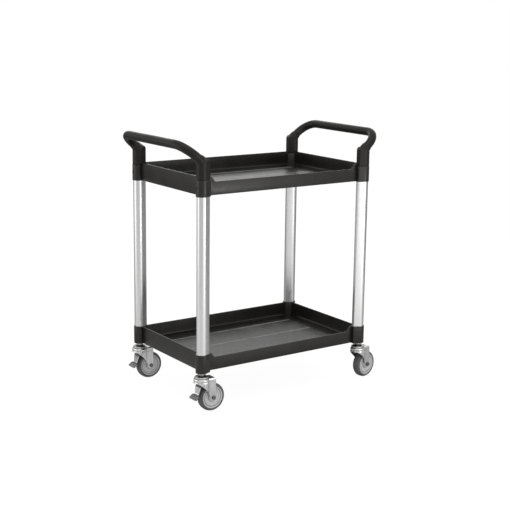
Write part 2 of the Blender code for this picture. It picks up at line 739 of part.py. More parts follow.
def make_brake(corner, swivel):
    """Foot lever on a pin across the fork's nose, with its pad facing the tyre."""
    lever_frame = bpy.data.objects.new(f"brake_axis_{corner}", None)
    trolley.objects.link(lever_frame)
    lever_frame.parent = swivel
    lever_frame.location = (PIVOT_X, 0.0, PIVOT_Z)
    name = f"brake_lever_{corner}"
    lever = outline_solid(name, lever_side(), TONGUE_HALF_WIDTH, facing_y(0.0), ZINC, lever_frame)
    across = Matrix(((0, 0, 1, 0), (1, 0, 0, 0), (0, 1, 0, 0), (0, 0, 0, 1)))
    for side in (-1, 1):
        taper = [(LEVER_TOP_HALF_WIDTH, 0.0), (LEVER_HALF_WIDTH, TONGUE_TOP), (0.04, TONGUE_TOP), (0.04, 0.0)]
        trim = outline_solid(
            f"{name}_trim_{'near' if side < 0 else 'far'}", [(side * y, z) for y, z in taper], 0.03, across,
            parent=lever_frame,
        )
        boolean(lever, trim)
    hub = cross_cylinder(
        name + "_hub", LEVER_HUB_RADIUS, LEVER_HUB_HALF_WIDTH, 0.0, 0.0, sides=14, parent=lever_frame
    )
    boolean(lever, hub, "UNION")
    bore = cross_cylinder(name + "_bore", PIVOT_PIN + GAP, 0.03, 0.0, 0.0, sides=12, parent=lever_frame)
    boolean(lever, bore)

    pad = box(
        f"brake_pad_{corner}", (-0.0085, -0.0090, -0.0265), (-0.0045, 0.0090, -0.0165), PAD_RUBBER, lever_frame
    )
    backing = outline_solid(
        f"brake_pad_{corner}_backing", grown_lever(), 0.03, facing_y(0.0), parent=lever_frame
    )
    boolean(pad, backing)
    cross_cylinder(
        f"brake_pin_{corner}", PIVOT_PIN, PIVOT_HALF_LENGTH, PIVOT_X, PIVOT_Z, sides=12,
        material=BRIGHT_STEEL, parent=swivel,
    )


def grown_lever():
    """Everything on the outer side of the lever's inner face, with the touching gap."""
    side = lever_side()
    inner = side[: len(side) // 2]
    reach = 0.04
    shifted = [(x + GAP, z) for x, z in inner[:5]]
    return shifted + [(-reach, shifted[-1][1]), (-reach, shifted[0][1])]


def make_castor(corner, centre):
    make_socket(corner, centre)
    make_stem(corner, centre)
    make_bearing_cap(corner, centre)
    swivel = bpy.data.objects.new(f"swivel_axis_{corner}", None)
    trolley.objects.link(swivel)
    swivel.location = (*centre, 0.0)
    swivel.rotation_euler.z = CASTOR_TURN.get(corner, 0.0)
    spin = bpy.data.objects.new(f"wheel_axis_{corner}", None)
    trolley.objects.link(spin)
    spin.parent = swivel
    spin.location = (TRAIL, 0.0, WHEEL_RADIUS)
    make_ball_ring(corner, swivel)
    make_fork(corner, swivel, corner in BRAKED)
    make_axle(corner, swivel)
    make_wheel(corner, spin)
    if corner in BRAKED:
        make_brake(corner, swivel)


# ---------------------------------------------------------------- the trolley
make_tray("lower_tray", LOWER_TRAY_Z, upper=False)
make_tray("upper_tray", UPPER_TRAY_Z, upper=True)
make_handle("left_handle", -1)
make_handle("right_handle", 1)
for corner_name, (x_sign, y_sign) in CORNERS.items():
    corner_centre = (x_sign * POST_X, y_sign * POST_Y)
    make_post(corner_name, x_sign, corner_centre)
    make_handle_screw(corner_name)
    make_castor(corner_name, corner_centre)
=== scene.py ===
"""Food service trolley: the fine surface, materials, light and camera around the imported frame.

Metres, +Z up, in the frame's own axes: X along the shelves, -Y the side with the low serving lips.
"""
import math

import bmesh
import bpy
from mathutils import Matrix, Vector


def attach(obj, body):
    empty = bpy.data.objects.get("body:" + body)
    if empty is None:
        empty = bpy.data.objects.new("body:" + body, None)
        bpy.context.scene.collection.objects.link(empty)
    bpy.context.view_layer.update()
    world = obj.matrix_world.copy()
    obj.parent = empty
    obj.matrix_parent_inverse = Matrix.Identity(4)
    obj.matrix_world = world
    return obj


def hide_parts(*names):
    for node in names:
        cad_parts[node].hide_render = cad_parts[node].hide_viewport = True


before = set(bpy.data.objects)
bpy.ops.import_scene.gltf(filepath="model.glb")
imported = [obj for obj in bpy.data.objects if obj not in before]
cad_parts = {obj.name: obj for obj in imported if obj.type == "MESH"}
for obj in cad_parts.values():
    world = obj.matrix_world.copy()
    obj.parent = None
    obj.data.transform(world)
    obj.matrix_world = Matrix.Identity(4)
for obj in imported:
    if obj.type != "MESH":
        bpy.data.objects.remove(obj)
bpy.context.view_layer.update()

# ---------------------------------------------------------------- dimensions, as in the CAD source
GAP = 0.0003
POST_X, POST_Y = 0.350, 0.2185
POST_RADIUS, POST_BORE = 0.0183, 0.0163
POST_SHAPE = (POST_RADIUS, 0.0280, 0.0065)
POST_BOTTOM, POST_TOP = 0.1485, 0.8152
HALF_X, HALF_Y = 0.348, 0.215
TRAY_HEIGHT, LIP_HEIGHT = 0.064, 0.046
LIP_RAMP_TOP, LIP_RAMP_FOOT = 0.312, 0.292
WALL, FLOOR_TOP, FLOOR_THICKNESS, COVE, RIB = 0.0045, 0.013, 0.0035, 0.006, 0.003
TRAY_CORNER = 0.0200
BEAD_Y, BEAD_HALF_LENGTH, BEAD_WIDTH, BEAD_HEIGHT = 0.136, 0.285, 0.0050, 0.0009
LOWER_TRAY_Z, UPPER_TRAY_Z = 0.143, 0.759
COLLAR_SHAPE = (0.0210, 0.0306, 0.0092)
COLLAR_SKIRT, UPPER_COLLAR_DROP = 0.001, 0.0075
HANDLE_RADIUS, HANDLE_REACH = 0.0160, 0.0670
HANDLE_BEND_Z, HANDLE_BAR_Z = 0.8760, 0.9314
HANDLE_CORNER, HANDLE_BEND_RADIUS, HANDLE_SWELL = 0.064, 0.024, 1.18
HANDLE_MARGIN = 0.0005          # keeps the smooth tube inside the CAD one
LEG_RUN_ON, TUBE_FOOT = 0.030, 0.035    # leg above the bend before it is sliced, tube below it
LEG_SHAPE = (0.0202, 0.0285, 0.0090)
SPIGOT_RADIUS, SPIGOT_BOTTOM = 0.0154, 0.7725
SCREW_Z = 0.789
WHEEL_RADIUS, TRAIL = 0.050, 0.038
CASTOR_TURN = {"front_right": math.radians(12.0)}
TYRE_HALF_WIDTH, TYRE_INNER, CORE_BORE = 0.0160, 0.0402, 0.0064
CORE_GROOVES = ((TYRE_INNER - 0.0064, 0.0018), (0.0162, 0.0016))    # radius and half width
CHEEK_INNER, CHEEK_OUTER = 0.0180, 0.0204
FORK_TOP, FORK_PLATE, NOSE_RADIUS = 0.1236, 0.0030, 0.0285
FLARE_START, FLARE_END = 0.0105, 0.0190
CHEEK_AHEAD, CHEEK_BEHIND, CHEEK_BELOW = 0.0130, 0.0090, 0.0105
GROOVE_Z, GROOVE_DEPTH, GROOVE_HALF_WIDTH = FORK_TOP - 0.0110, 0.0016, 0.0020
GROOVE_RUN_OUT, GROOVE_CLEAR = 0.006, 0.004     # fade along the cheeks, and top face left flat
STEM_RADIUS, STEM_TOP, STEM_FLANGE_RADIUS, CAP_RADIUS = 0.0058, 0.190, 0.0125, 0.0250
BALL_PITCH_RADIUS, BALL_RADIUS = 0.0125, 0.0021
AXLE_RADIUS = 0.0039
PIVOT_X, PIVOT_Z, PIVOT_PIN, PIVOT_HALF_LENGTH = -0.0060, 0.1010, 0.0027, 0.0286
LEVER_TOP_HALF_WIDTH, LEVER_HALF_WIDTH, LEVER_HUB_HALF_WIDTH = 0.0195, 0.0115, 0.0225
TONGUE_HALF_WIDTH, TONGUE_TOP, LEVER_THICKNESS = 0.0235, -0.0345, 0.0024
PAST = 0.01                     # how far a cutter reaches past what it cuts
FACING_Y = Matrix.Rotation(math.pi / 2, 4, "X")
CORNERS = {
    "front_left": (-1, -1),
    "front_right": (1, -1),
    "rear_left": (-1, 1),
    "rear_right": (1, 1),
}
BRAKED = ("front_left", "rear_left")


# ---------------------------------------------------------------- node materials
class Look:
    """A Principled material and a few shortcuts for its procedural nodes."""

    def __init__(self, name, roughness, metallic=0.0, specular=0.5, stretch=(1.0, 1.0, 1.0)):
        self.material = bpy.data.materials.new(name)
        self.material.use_nodes = True
        self.tree = self.material.node_tree
        self.shader = self.tree.nodes["Principled BSDF"]
        self.shader.inputs["Roughness"].default_value = roughness
        self.shader.inputs["Metallic"].default_value = metallic
        self.shader.inputs["Specular IOR Level"].default_value = specular
        coordinate = self.node("TexCoord")
        mapping = self.node("Mapping", Scale=stretch)
        self.tree.links.new(coordinate.outputs["Object"], mapping.inputs["Vector"])
        self.place = mapping.outputs["Vector"]
        self.plain_place = coordinate.outputs["Object"]

    def node(self, kind, **constants):
        made = self.tree.nodes.new("ShaderNode" + kind)
        for socket, value in constants.items():
            made.inputs[socket].default_value = value
        return made

    def noise(self, scale, detail=4.0, roughness=0.55, plain=False):
        node = self.node("TexNoise", Scale=scale, Detail=detail, Roughness=roughness)
        self.tree.links.new(self.plain_place if plain else self.place, node.inputs["Vector"])
        return node.outputs["Fac"]

    def studs(self, scale):
        """0 at the middle of each stud of a regular pattern, more between them."""
        node = self.node("TexVoronoi", Scale=scale, Randomness=0.0)
        self.tree.links.new(self.plain_place, node.inputs["Vector"])
        return node.outputs["Distance"]

    def ramp(self, value, low, high, start=0.3, end=0.7):
        node = self.node("ValToRGB")
        node.color_ramp.elements[0].position = start
        node.color_ramp.elements[0].color = (*low, 1.0)
        node.color_ramp.elements[1].position = end
        node.color_ramp.elements[1].color = (*high, 1.0)
        self.tree.links.new(value, node.inputs["Fac"])
        return node.outputs["Color"]

    def spread(self, value, low, high, start=0.3, end=0.7):
        node = self.node("MapRange")
        for socket, number in (("From Min", start), ("From Max", end), ("To Min", low), ("To Max", high)):
            node.inputs[socket].default_value = number
        self.tree.links.new(value, node.inputs["Value"])
        return node.outputs["Result"]

    def math(self, operation, first, second=0.0):
        node = self.node("Math")
        node.operation = operation
        for socket, value in zip(node.inputs, (first, second)):
            if isinstance(value, (int, float)):
                socket.default_value = value
            else:
                self.tree.links.new(value, socket)
        return node.outputs["Value"]

    def absolute(self, value):
        return self.math("ABSOLUTE", value)

    def vector_math(self, operation, vector):
        """The place on the piece taken with a fixed vector."""
        node = self.node("VectorMath")
        node.operation = operation
        node.inputs[1].default_value = vector
        self.tree.links.new(self.plain_place, node.inputs[0])
        return node.outputs["Value"]

    def crease(self, reach):
        """Ambient occlusion: 0 in folds and under edges, 1 in the open, a mask for painted shade."""
        node = self.node("AmbientOcclusion", Distance=reach)
        node.samples = 8
        return node.outputs["AO"]

    def axes(self):
        """The piece's own X, Y and Z."""
        node = self.node("SeparateXYZ")
        self.tree.links.new(self.plain_place, node.inputs["Vector"])
        return node.outputs

    def below(self, level, fade):
        """1 under this level of the piece's own Z, 0 above it."""
        return self.spread(self.axes()["Z"], 1.0, 0.0, level - fade, level)

    def blend(self, amount, first, second):
        node = self.node("Mix")
        node.data_type = "RGBA"
        self.tree.links.new(amount, node.inputs["Factor"])
        self.tree.links.new(first, node.inputs[6])
        if isinstance(second, tuple):
            node.inputs[7].default_value = (*second, 1.0)
        else:
            self.tree.links.new(second, node.inputs[7])
        return node.outputs[2]

    def colour(self, socket):
        self.tree.links.new(socket, self.shader.inputs["Base Color"])
        return self

    def gloss(self, socket):
        self.tree.links.new(socket, self.shader.inputs["Roughness"])
        return self

    def bump(self, height, distance):
        node = self.node("Bump", Distance=distance, Strength=1.0)
        self.tree.links.new(height, node.inputs["Height"])
        self.tree.links.new(node.outputs["Normal"], self.shader.inputs["Normal"])
        return self


def bead_crests(look):
    """Near 1 along the crests of a tray's three beads, where a highlight is painted, 0 elsewhere."""
    axes = look.axes()
    off_middle = look.absolute(axes["Y"])
    off_outer = look.absolute(look.math("SUBTRACT", off_middle, BEAD_Y))
    crest = look.math("MINIMUM", off_outer, off_middle)
    crest_highlight = look.spread(crest, 0.9, 0.0, BEAD_WIDTH * 0.30, BEAD_WIDTH * 0.50)
    along = look.spread(look.absolute(axes["X"]), 1.0, 0.0, BEAD_HALF_LENGTH - 0.001, BEAD_HALF_LENGTH)
    return look.math("MULTIPLY", crest_highlight, along)


def black_plastic(name, tones, rough, grain, depth, specular=0.5, tray=False):
    """Moulded polypropylene: fine spark texture, faint flow marks, slightly uneven gloss.

    A tray also has faint lighter lengthwise streaks, and a highlight painted along the crests of its three
    beads."""
    look = Look(name, rough, specular=specular, stretch=(0.04, 1.0, 1.0) if tray else (1.0, 1.0, 1.0))
    flow = look.noise(9.0, 3.0, plain=True)
    fine = look.noise(grain, 2.0, 0.6, plain=True)
    colour = look.ramp(flow, *tones)
    gloss = look.math("ADD", look.spread(flow, -0.05, 0.05), look.spread(fine, rough - 0.05, rough + 0.05))
    if tray:
        streaks = look.noise(260.0, 4.0, 0.75)
        # Faint lighter streaks along the tray's length.
        colour = look.blend(look.spread(streaks, 0.0, 0.7, 0.52, 0.75), colour, STREAK_TONE)
        # Painted highlight along the crests of the three beads.
        colour = look.blend(bead_crests(look), colour, BEAD_HIGHLIGHT)
    look.colour(colour)
    look.gloss(gloss)
    orange_peel = look.spread(look.noise(140.0, 2.0, plain=True), 0.0, 0.5)
    look.bump(look.math("ADD", fine, orange_peel), depth)
    return look.material


def drawn_aluminium():
    """Satin anodised extrusion: draw lines along the post, very slight cloudiness."""
    look = Look("drawn_aluminium", 0.3, 1.0, stretch=(1.0, 1.0, 0.012))
    lines = look.noise(900.0, 3.0, 0.6)
    cloud = look.noise(6.0, 2.0, plain=True)
    tone = look.math("ADD", look.math("MULTIPLY", lines, 0.5), look.math("MULTIPLY", cloud, 0.5))
    look.colour(look.ramp(tone, (0.84, 0.84, 0.835), (0.93, 0.93, 0.93)))
    look.gloss(look.spread(lines, 0.24, 0.36))
    look.bump(lines, 0.00003)
    return look.material


def zinc_plate(name="bright_zinc", tread=False):
    """Bright zinc over pressed steel: soft spangle, handling marks, and painted shade in its folds.

    A foot tread is studded and duller, below a band painted dark as the shadow of the fork's nose."""
    look = Look(name, 0.24, 1.0)
    spangle = look.noise(130.0, 3.0)
    marks = look.noise(700.0, 4.0, 0.7)
    colour = look.ramp(spangle, (0.72, 0.725, 0.72), (0.90, 0.905, 0.90))
    gloss = look.math("ADD", look.spread(spangle, 0.09, 0.16), look.spread(marks, 0.0, 0.06))
    # Painted shade: the zinc turns dark in folds and under edges, where occlusion is strong.
    fold_shade = look.spread(look.crease(0.014), 0.85, 0.0, 0.42, 0.95)
    colour = look.blend(fold_shade, colour, (0.08, 0.08, 0.08))
    if tread:
        foot = look.below(TONGUE_TOP + 0.001, 0.001)
        studs = look.ramp(look.studs(230.0), (0.62, 0.62, 0.62), (0.16, 0.16, 0.16), 0.30, 0.42)
        colour = look.blend(foot, colour, studs)
        # Painted shadow of the fork's nose: a dark band across the lever's upper part.
        nose_shadow = look.spread(look.axes()["Z"], 0.0, 0.85, *NOSE_SHADOW_BAND)
        colour = look.blend(nose_shadow, colour, (0.05, 0.05, 0.05))
        gloss = look.math("ADD", gloss, look.math("MULTIPLY", foot, 0.15))
    look.colour(colour)
    look.gloss(gloss)
    look.bump(look.math("ADD", spangle, look.math("MULTIPLY", marks, 0.3)), 0.00010)
    return look.material


def bright_steel(name="bright_steel", low=0.48, high=0.62, rough=0.20):
    """Plain steel between two grey tones, with small marks in its gloss."""
    look = Look(name, rough, 1.0)
    marks = look.noise(350.0, 4.0, 0.65)
    look.colour(look.ramp(marks, (low, low, low * 0.98), (high, high, high * 0.99)))
    look.gloss(look.spread(marks, rough, rough + 0.12))
    look.bump(marks, 0.00003)
    return look.material


def grey_core():
    """Grey nylon wheel centre, with painted shade in its turned grooves."""
    look = Look("grey_wheel_core", 0.42)
    flow = look.noise(40.0, 3.0)
    fine = look.noise(1400.0, 2.0)
    axes = look.axes()
    squares = [look.math("MULTIPLY", axes[name], axes[name]) for name in "XZ"]
    radius = look.math("SQRT", look.math("ADD", *squares))
    colour = look.ramp(flow, (0.62, 0.62, 0.62), (0.72, 0.72, 0.72))
    for middle, half in CORE_GROOVES:
        off = look.absolute(look.math("SUBTRACT", radius, middle))
        # Painted shade: darker colour at the radius of each turned groove.
        groove_shade = look.spread(off, 0.75, 0.0, half * 0.5, half)
        colour = look.blend(groove_shade, colour, (0.18, 0.18, 0.18))
    look.colour(colour)
    look.gloss(look.spread(fine, 0.36, 0.50))
    look.bump(fine, 0.00005)
    return look.material


def rubber(name, low, high):
    """Matt rubber with scuffs and a fine grain."""
    look = Look(name, 0.7, specular=0.35)
    scuff = look.noise(55.0, 5.0, 0.7)
    fine = look.noise(1800.0, 3.0, 0.6)
    look.colour(look.ramp(scuff, low, high, 0.35, 0.75))
    look.gloss(look.spread(scuff, 0.60, 0.80))
    look.bump(fine, 0.00010)
    return look.material


TRAY_TONES = ((0.0095, 0.0086, 0.0068), (0.0140, 0.0128, 0.0102))
HANDLE_TONES = ((0.0088, 0.0081, 0.0066), (0.0125, 0.0115, 0.0094))
NYLON_TONES = ((0.012, 0.012, 0.012), (0.018, 0.018, 0.018))
# The second colour here is the painted highlight on the crests of the tray's beads.
STREAK_TONE, BEAD_HIGHLIGHT = (0.035, 0.034, 0.031), (0.45, 0.45, 0.43)
# Height band of the painted shadow that the fork's nose casts on the lever.
NOSE_SHADOW_BAND = (-0.0135, -0.0085)    # the height below the pivot where it fades in on the lever
TRAY_PLASTIC = black_plastic("tray_plastic", TRAY_TONES, 0.30, 1100.0, 0.00006, tray=True)
HANDLE_PLASTIC = black_plastic("handle_plastic", HANDLE_TONES, 0.40, 900.0, 0.00006, 0.32)
NYLON = black_plastic("black_nylon", NYLON_TONES, 0.5, 800.0, 0.00008)
ALUMINIUM = drawn_aluminium()
ZINC = zinc_plate()
LEVER_ZINC = zinc_plate("lever_zinc", tread=True)
STEEL = bright_steel()
BOLT_STEEL = bright_steel("bolt_steel", 0.16, 0.24, 0.40)
CORE_PLASTIC = grey_core()
TYRE_RUBBER = rubber("tyre_rubber", (0.11, 0.11, 0.11), (0.17, 0.17, 0.17))
PAD_RUBBER = rubber("pad_rubber", (0.020, 0.020, 0.020), (0.030, 0.030, 0.030))


# ---------------------------------------------------------------- mesh building
def finish_mesh(name, bm, angle=35.0):
    """The mesh of a bmesh, smooth but for edges sharper than the angle."""
    bmesh.ops.recalc_face_normals(bm, faces=bm.faces)
    mesh = bpy.data.meshes.new(name)
    bm.to_mesh(mesh)
    bm.free()
    mesh.shade_smooth()
    mesh.set_sharp_from_angle(angle=math.radians(angle))
    return mesh


def tool(mesh):
    """A helper object that is removed again once its modifiers are read."""
    obj = bpy.data.objects.new(mesh.name + "_tool", mesh)
    bpy.context.scene.collection.objects.link(obj)
    return obj


def carve(mesh, steps, angle=35.0):
    """Boolean steps (operation, mesh) on a mesh, and the mesh that comes out."""
    target = tool(mesh)
    others = []
    for operation, other in steps:
        others.append(tool(other))
        modifier = target.modifiers.new(operation, "BOOLEAN")
        modifier.operation = operation
        modifier.solver = "EXACT"
        modifier.object = others[-1]
    made = evaluated(target)
    for obj in [target, *others]:
        bpy.data.objects.remove(obj, do_unlink=True)
    made.name = mesh.name
    made.shade_smooth()
    made.set_sharp_from_angle(angle=math.radians(angle))
    return made


def evaluated(obj):
    bpy.context.view_layer.update()
    return bpy.data.meshes.new_from_object(obj.evaluated_get(bpy.context.evaluated_depsgraph_get()))


def remelt(mesh, voxel, rounds):
    """Voxel remesh and smooth, so that joined shapes flow into each other as a moulding or pressing does."""
    obj = tool(mesh)
    melt = obj.modifiers.new("melt", "REMESH")
    melt.mode = "VOXEL"
    melt.voxel_size = voxel
    smooth = obj.modifiers.new("smooth", "SMOOTH")
    smooth.factor = 0.5
    smooth.iterations = rounds
    made = evaluated(obj)
    bpy.data.objects.remove(obj, do_unlink=True)
    made.name = mesh.name
    made.shade_smooth()
    return made


def rounded(points, radius, steps=3, closed=True):
    """A polyline with its corners rounded. Each point is (u, v) or (u, v, its own radius)."""
    made = []
    count = len(points)
    for i, point in enumerate(points):
        here = Vector(point[:2])
        reach = point[2] if len(point) > 2 else radius
        if reach == 0 or (not closed and i in (0, count - 1)):
            made.append(tuple(here))
            continue
        before = Vector(points[i - 1][:2]) - here
        after = Vector(points[(i + 1) % count][:2]) - here
        cut = min(reach, before.length * 0.45, after.length * 0.45)
        start = here + before.normalized() * cut
        end = here + after.normalized() * cut
        for k in range(steps + 1):
            t = k / steps
            made.append(tuple(start * (1 - t) ** 2 + here * 2 * t * (1 - t) + end * t ** 2))
    return made


def circle(radius, count, centre=(0.0, 0.0)):
    """Points round a circle, counter-clockwise."""
    turns = [2 * math.pi * i / count for i in range(count)]
    return [(centre[0] + radius * math.cos(t), centre[1] + radius * math.sin(t)) for t in turns]


def turned(name, profile, segments, radius=0.0004, closed=True, along_y=False, steps=3, angle=35.0):
    """A turned mesh from an (r, z) profile. An open profile starts and ends on the axis."""
    on_axis = 1e-7
    bm = bmesh.new()
    rings = []
    for r, z in rounded(profile, radius, steps, closed):
        if r < on_axis:
            rings.append([bm.verts.new((0, 0, z))])
        else:
            rings.append([bm.verts.new((x, y, z)) for x, y in circle(r, segments)])
    pairs = list(zip(rings, rings[1:]))
    if closed:
        pairs.append((rings[-1], rings[0]))
    for one, two in pairs:
        for i in range(segments):
            j = (i + 1) % segments
            if len(one) == 1 and len(two) == 1:
                continue
            if len(one) == 1:
                bm.faces.new((one[0], two[i], two[j]))
            elif len(two) == 1:
                bm.faces.new((one[i], two[0], one[j]))
            else:
                bm.faces.new((one[i], two[i], two[j], one[j]))
    if along_y:
        bmesh.ops.transform(bm, matrix=FACING_Y, verts=bm.verts)
    return finish_mesh(name, bm, angle)


def shrunk(outline, distance):
    """The outline moved inwards by a small distance (counter-clockwise points)."""
    folded_back, sharpest = 1e-9, 0.6
    made = []
    count = len(outline)
    for i in range(count):
        here = Vector(outline[i])
        before = (here - Vector(outline[i - 1])).normalized()
        after = (Vector(outline[(i + 1) % count]) - here).normalized()
        normal = Vector((-before.y - after.y, before.x + after.x))
        if normal.length < folded_back:
            normal = Vector((-before.y, before.x))
        normal.normalize()
        lean = max(sharpest, normal.dot(Vector((-before.y, before.x))))
        made.append(here + normal * (distance / lean))
    return made


def is_clockwise(outline):
    total = 0.0
    for (x0, y0), (x1, y1) in zip(outline, [*outline[1:], outline[0]]):
        total += (x1 - x0) * (y1 + y0)
    return total > 0


def prism(name, outline, bottom, top, soft_bottom=0.0, soft_top=0.0, matrix=None, steps=3):
    """An extruded outline whose end edges are rounded."""
    points = [tuple(p) for p in outline]
    if is_clockwise(points):
        points.reverse()
    levels = []
    for k in range(steps + 1):
        turn = math.pi / 2 * k / steps
        if soft_bottom or k == steps:
            levels.append((soft_bottom * (1 - math.sin(turn)), bottom + soft_bottom * (1 - math.cos(turn))))
    for k in range(steps + 1):
        turn = math.pi / 2 * k / steps
        if soft_top or k == 0:
            levels.append((soft_top * (1 - math.cos(turn)), top - soft_top * (1 - math.sin(turn))))
    bm = bmesh.new()
    rings = [[bm.verts.new((p[0], p[1], z)) for p in shrunk(points, inset)] for inset, z in levels]
    count = len(points)
    for one, two in zip(rings, rings[1:]):
        for i in range(count):
            j = (i + 1) % count
            bm.faces.new((one[i], one[j], two[j], two[i]))
    bm.faces.new(rings[0][::-1])
    bm.faces.new(rings[-1])
    if matrix:
        bmesh.ops.transform(bm, matrix=matrix, verts=bm.verts)
    return finish_mesh(name, bm)


def cylinder(name, radius, bottom, top, segments=48, centre=(0.0, 0.0)):
    return prism(name, circle(radius, segments, centre), bottom, top)


def keyhole(shape, side, centre=(0.0, 0.0), extra=0.0, corner=0.0035):
    """A circle that tapers to a rounded ear at `side` along X."""
    segments = 48
    radius, reach, half = (value + extra for value in shape)
    start = math.atan2(half, reach) + math.acos(radius / math.hypot(half, reach))
    sweep = 2 * math.pi - 2 * start
    turns = [start + sweep * i / segments for i in range(segments + 1)]
    arc = [(radius * math.cos(t), radius * math.sin(t), 0) for t in turns]
    ring = rounded([(reach, -half, corner), (reach, half, corner)] + arc, corner, 5)
    return [(centre[0] + side * x, centre[1] + y) for x, y in ring]


def show(name, mesh, material, body, nodes, location=(0.0, 0.0, 0.0), turn=0.0):
    """Puts a finished mesh in the scene on its body, in place of its CAD nodes."""
    obj = bpy.data.objects.new(name, mesh)
    bpy.context.scene.collection.objects.link(obj)
    mesh.materials.clear()
    mesh.materials.append(material)
    obj.location = location
    obj.rotation_euler.z = turn
    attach(obj, body)
    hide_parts(*nodes)
    return obj


# ---------------------------------------------------------------- trays
def lip_rise(x, y):
    """Height of the rim above the tray's lower edge, low along the serving side."""
    if y > -HALF_Y + 0.5 * TRAY_CORNER:
        return TRAY_HEIGHT
    t = (abs(x) - LIP_RAMP_FOOT) / (LIP_RAMP_TOP - LIP_RAMP_FOOT)
    ease = (1 - math.cos(math.pi * min(1.0, max(0.0, t)))) / 2
    return LIP_HEIGHT + (TRAY_HEIGHT - LIP_HEIGHT) * ease


def perimeter():
    """Stations round the tray: (point on the outer face, outward direction)."""
    reach_x = HALF_X - TRAY_CORNER
    reach_y = HALF_Y - TRAY_CORNER
    ramp_steps, side_steps, corner_steps = 10, 8, 8
    ramp_run = LIP_RAMP_TOP - LIP_RAMP_FOOT
    ramp = [LIP_RAMP_FOOT + ramp_run * (i / ramp_steps) for i in range(ramp_steps + 1)]
    positive = [0.0, 0.05, 0.10, 0.15, 0.20, 0.25, 0.275, *ramp, 0.320]
    front = sorted({-x for x in positive} | set(positive))
    side = [reach_y * (i / side_steps) for i in range(1 - side_steps, side_steps)]
    stations = [(Vector((x, -HALF_Y)), Vector((0, -1))) for x in front]
    corners = [((1, -1), -90), ((1, 1), 0), ((-1, 1), 90), ((-1, -1), 180)]
    runs = [
        [(Vector((HALF_X, y)), Vector((1, 0))) for y in side],
        [(Vector((x, HALF_Y)), Vector((0, 1))) for x in reversed(front)],
        [(Vector((-HALF_X, y)), Vector((-1, 0))) for y in reversed(side)],
        [],
    ]
    for ((sx, sy), first), run in zip(corners, runs):
        centre = Vector((sx * reach_x, sy * reach_y))
        for i in range(corner_steps + 1):
            turn = math.radians(first + 90 * i / corner_steps)
            out = Vector((math.cos(turn), math.sin(turn)))
            stations.append((centre + out * TRAY_CORNER, out))
        stations.extend(run)
    return stations


def wall_section(rise):
    """The wall as (distance in from the outer face, height), from the lower edge to the floor."""
    edge = 0.0009
    lip = 0.0011
    flat_ring = 0.002
    lip_turns = [math.pi / 2 * i / 4 for i in range(5)]
    cove_turns = [math.pi / 2 * i / 8 for i in range(9)]
    section = [(edge, 0.0), (0.3 * edge, 0.3 * edge), (0.0, edge), (0.0, 0.5 * rise)]
    section += [(lip * (1 - math.cos(t)), rise - lip * (1 - math.sin(t))) for t in lip_turns]
    section += [(WALL - lip * (1 - math.sin(t)), rise - lip * (1 - math.cos(t))) for t in lip_turns]
    section.append((WALL, FLOOR_TOP + COVE + 0.3 * (rise - FLOOR_TOP - COVE)))
    section += [(WALL + COVE * (1 - math.cos(t)), FLOOR_TOP + COVE * (1 - math.sin(t))) for t in cove_turns]
    section.append((WALL + COVE + flat_ring, FLOOR_TOP))
    return section


def tray_shell(name, base):
    """The tray as one skin: its wall section at each station, closed by two flat floors."""
    bm = bmesh.new()
    columns = []
    for point, out in perimeter():
        column = []
        for inward, height in wall_section(lip_rise(point.x, point.y)):
            place = point - out * inward
            column.append(bm.verts.new((place.x, place.y, base + height)))
        columns.append(column)
    for one, two in zip(columns, [*columns[1:], columns[0]]):
        for i in range(len(one) - 1):
            bm.faces.new((one[i], two[i], two[i + 1], one[i + 1]))
    bm.faces.new([column[0] for column in columns])
    bm.faces.new([column[-1] for column in columns])
    return finish_mesh(name, bm)


def underside_pockets(name, base):
    """Room under the floor, which leaves its stiffening ribs."""
    depth = FLOOR_TOP - FLOOR_THICKNESS
    length = 2 * HALF_X - 2 * COLLAR_SHAPE[1] - 2 * WALL
    width = 2 * HALF_Y - 2 * WALL
    columns, rows = 4, 3
    cell_x = (length - RIB * (columns - 1)) / columns
    cell_y = (width - RIB * (rows - 1)) / rows
    bm = bmesh.new()
    for i in range(columns):
        for j in range(rows):
            x = -length / 2 + cell_x / 2 + i * (cell_x + RIB)
            y = -width / 2 + cell_y / 2 + j * (cell_y + RIB)
            size = Matrix.Diagonal((cell_x, cell_y, 2 * depth, 1.0))
            bmesh.ops.create_cube(bm, size=1.0, matrix=Matrix.Translation((x, y, base)) @ size)
    return finish_mesh(name + "_pockets", bm)


def bead(name, y, floor):
    """A low rounded ridge along the floor."""
    half, root = BEAD_WIDTH / 2, 0.001
    turns = [math.pi * i / 6 for i in range(7)]
    crown = [(-half * math.cos(t), BEAD_HEIGHT * math.sin(t)) for t in turns]
    outline = [(-half, -root), *crown, (half, -root)]
    lie = Matrix.Translation((0, y, floor)) @ Matrix.Rotation(math.pi / 2, 4, "Z") @ FACING_Y
    return prism(name, outline, -BEAD_HALF_LENGTH, BEAD_HALF_LENGTH, matrix=lie)


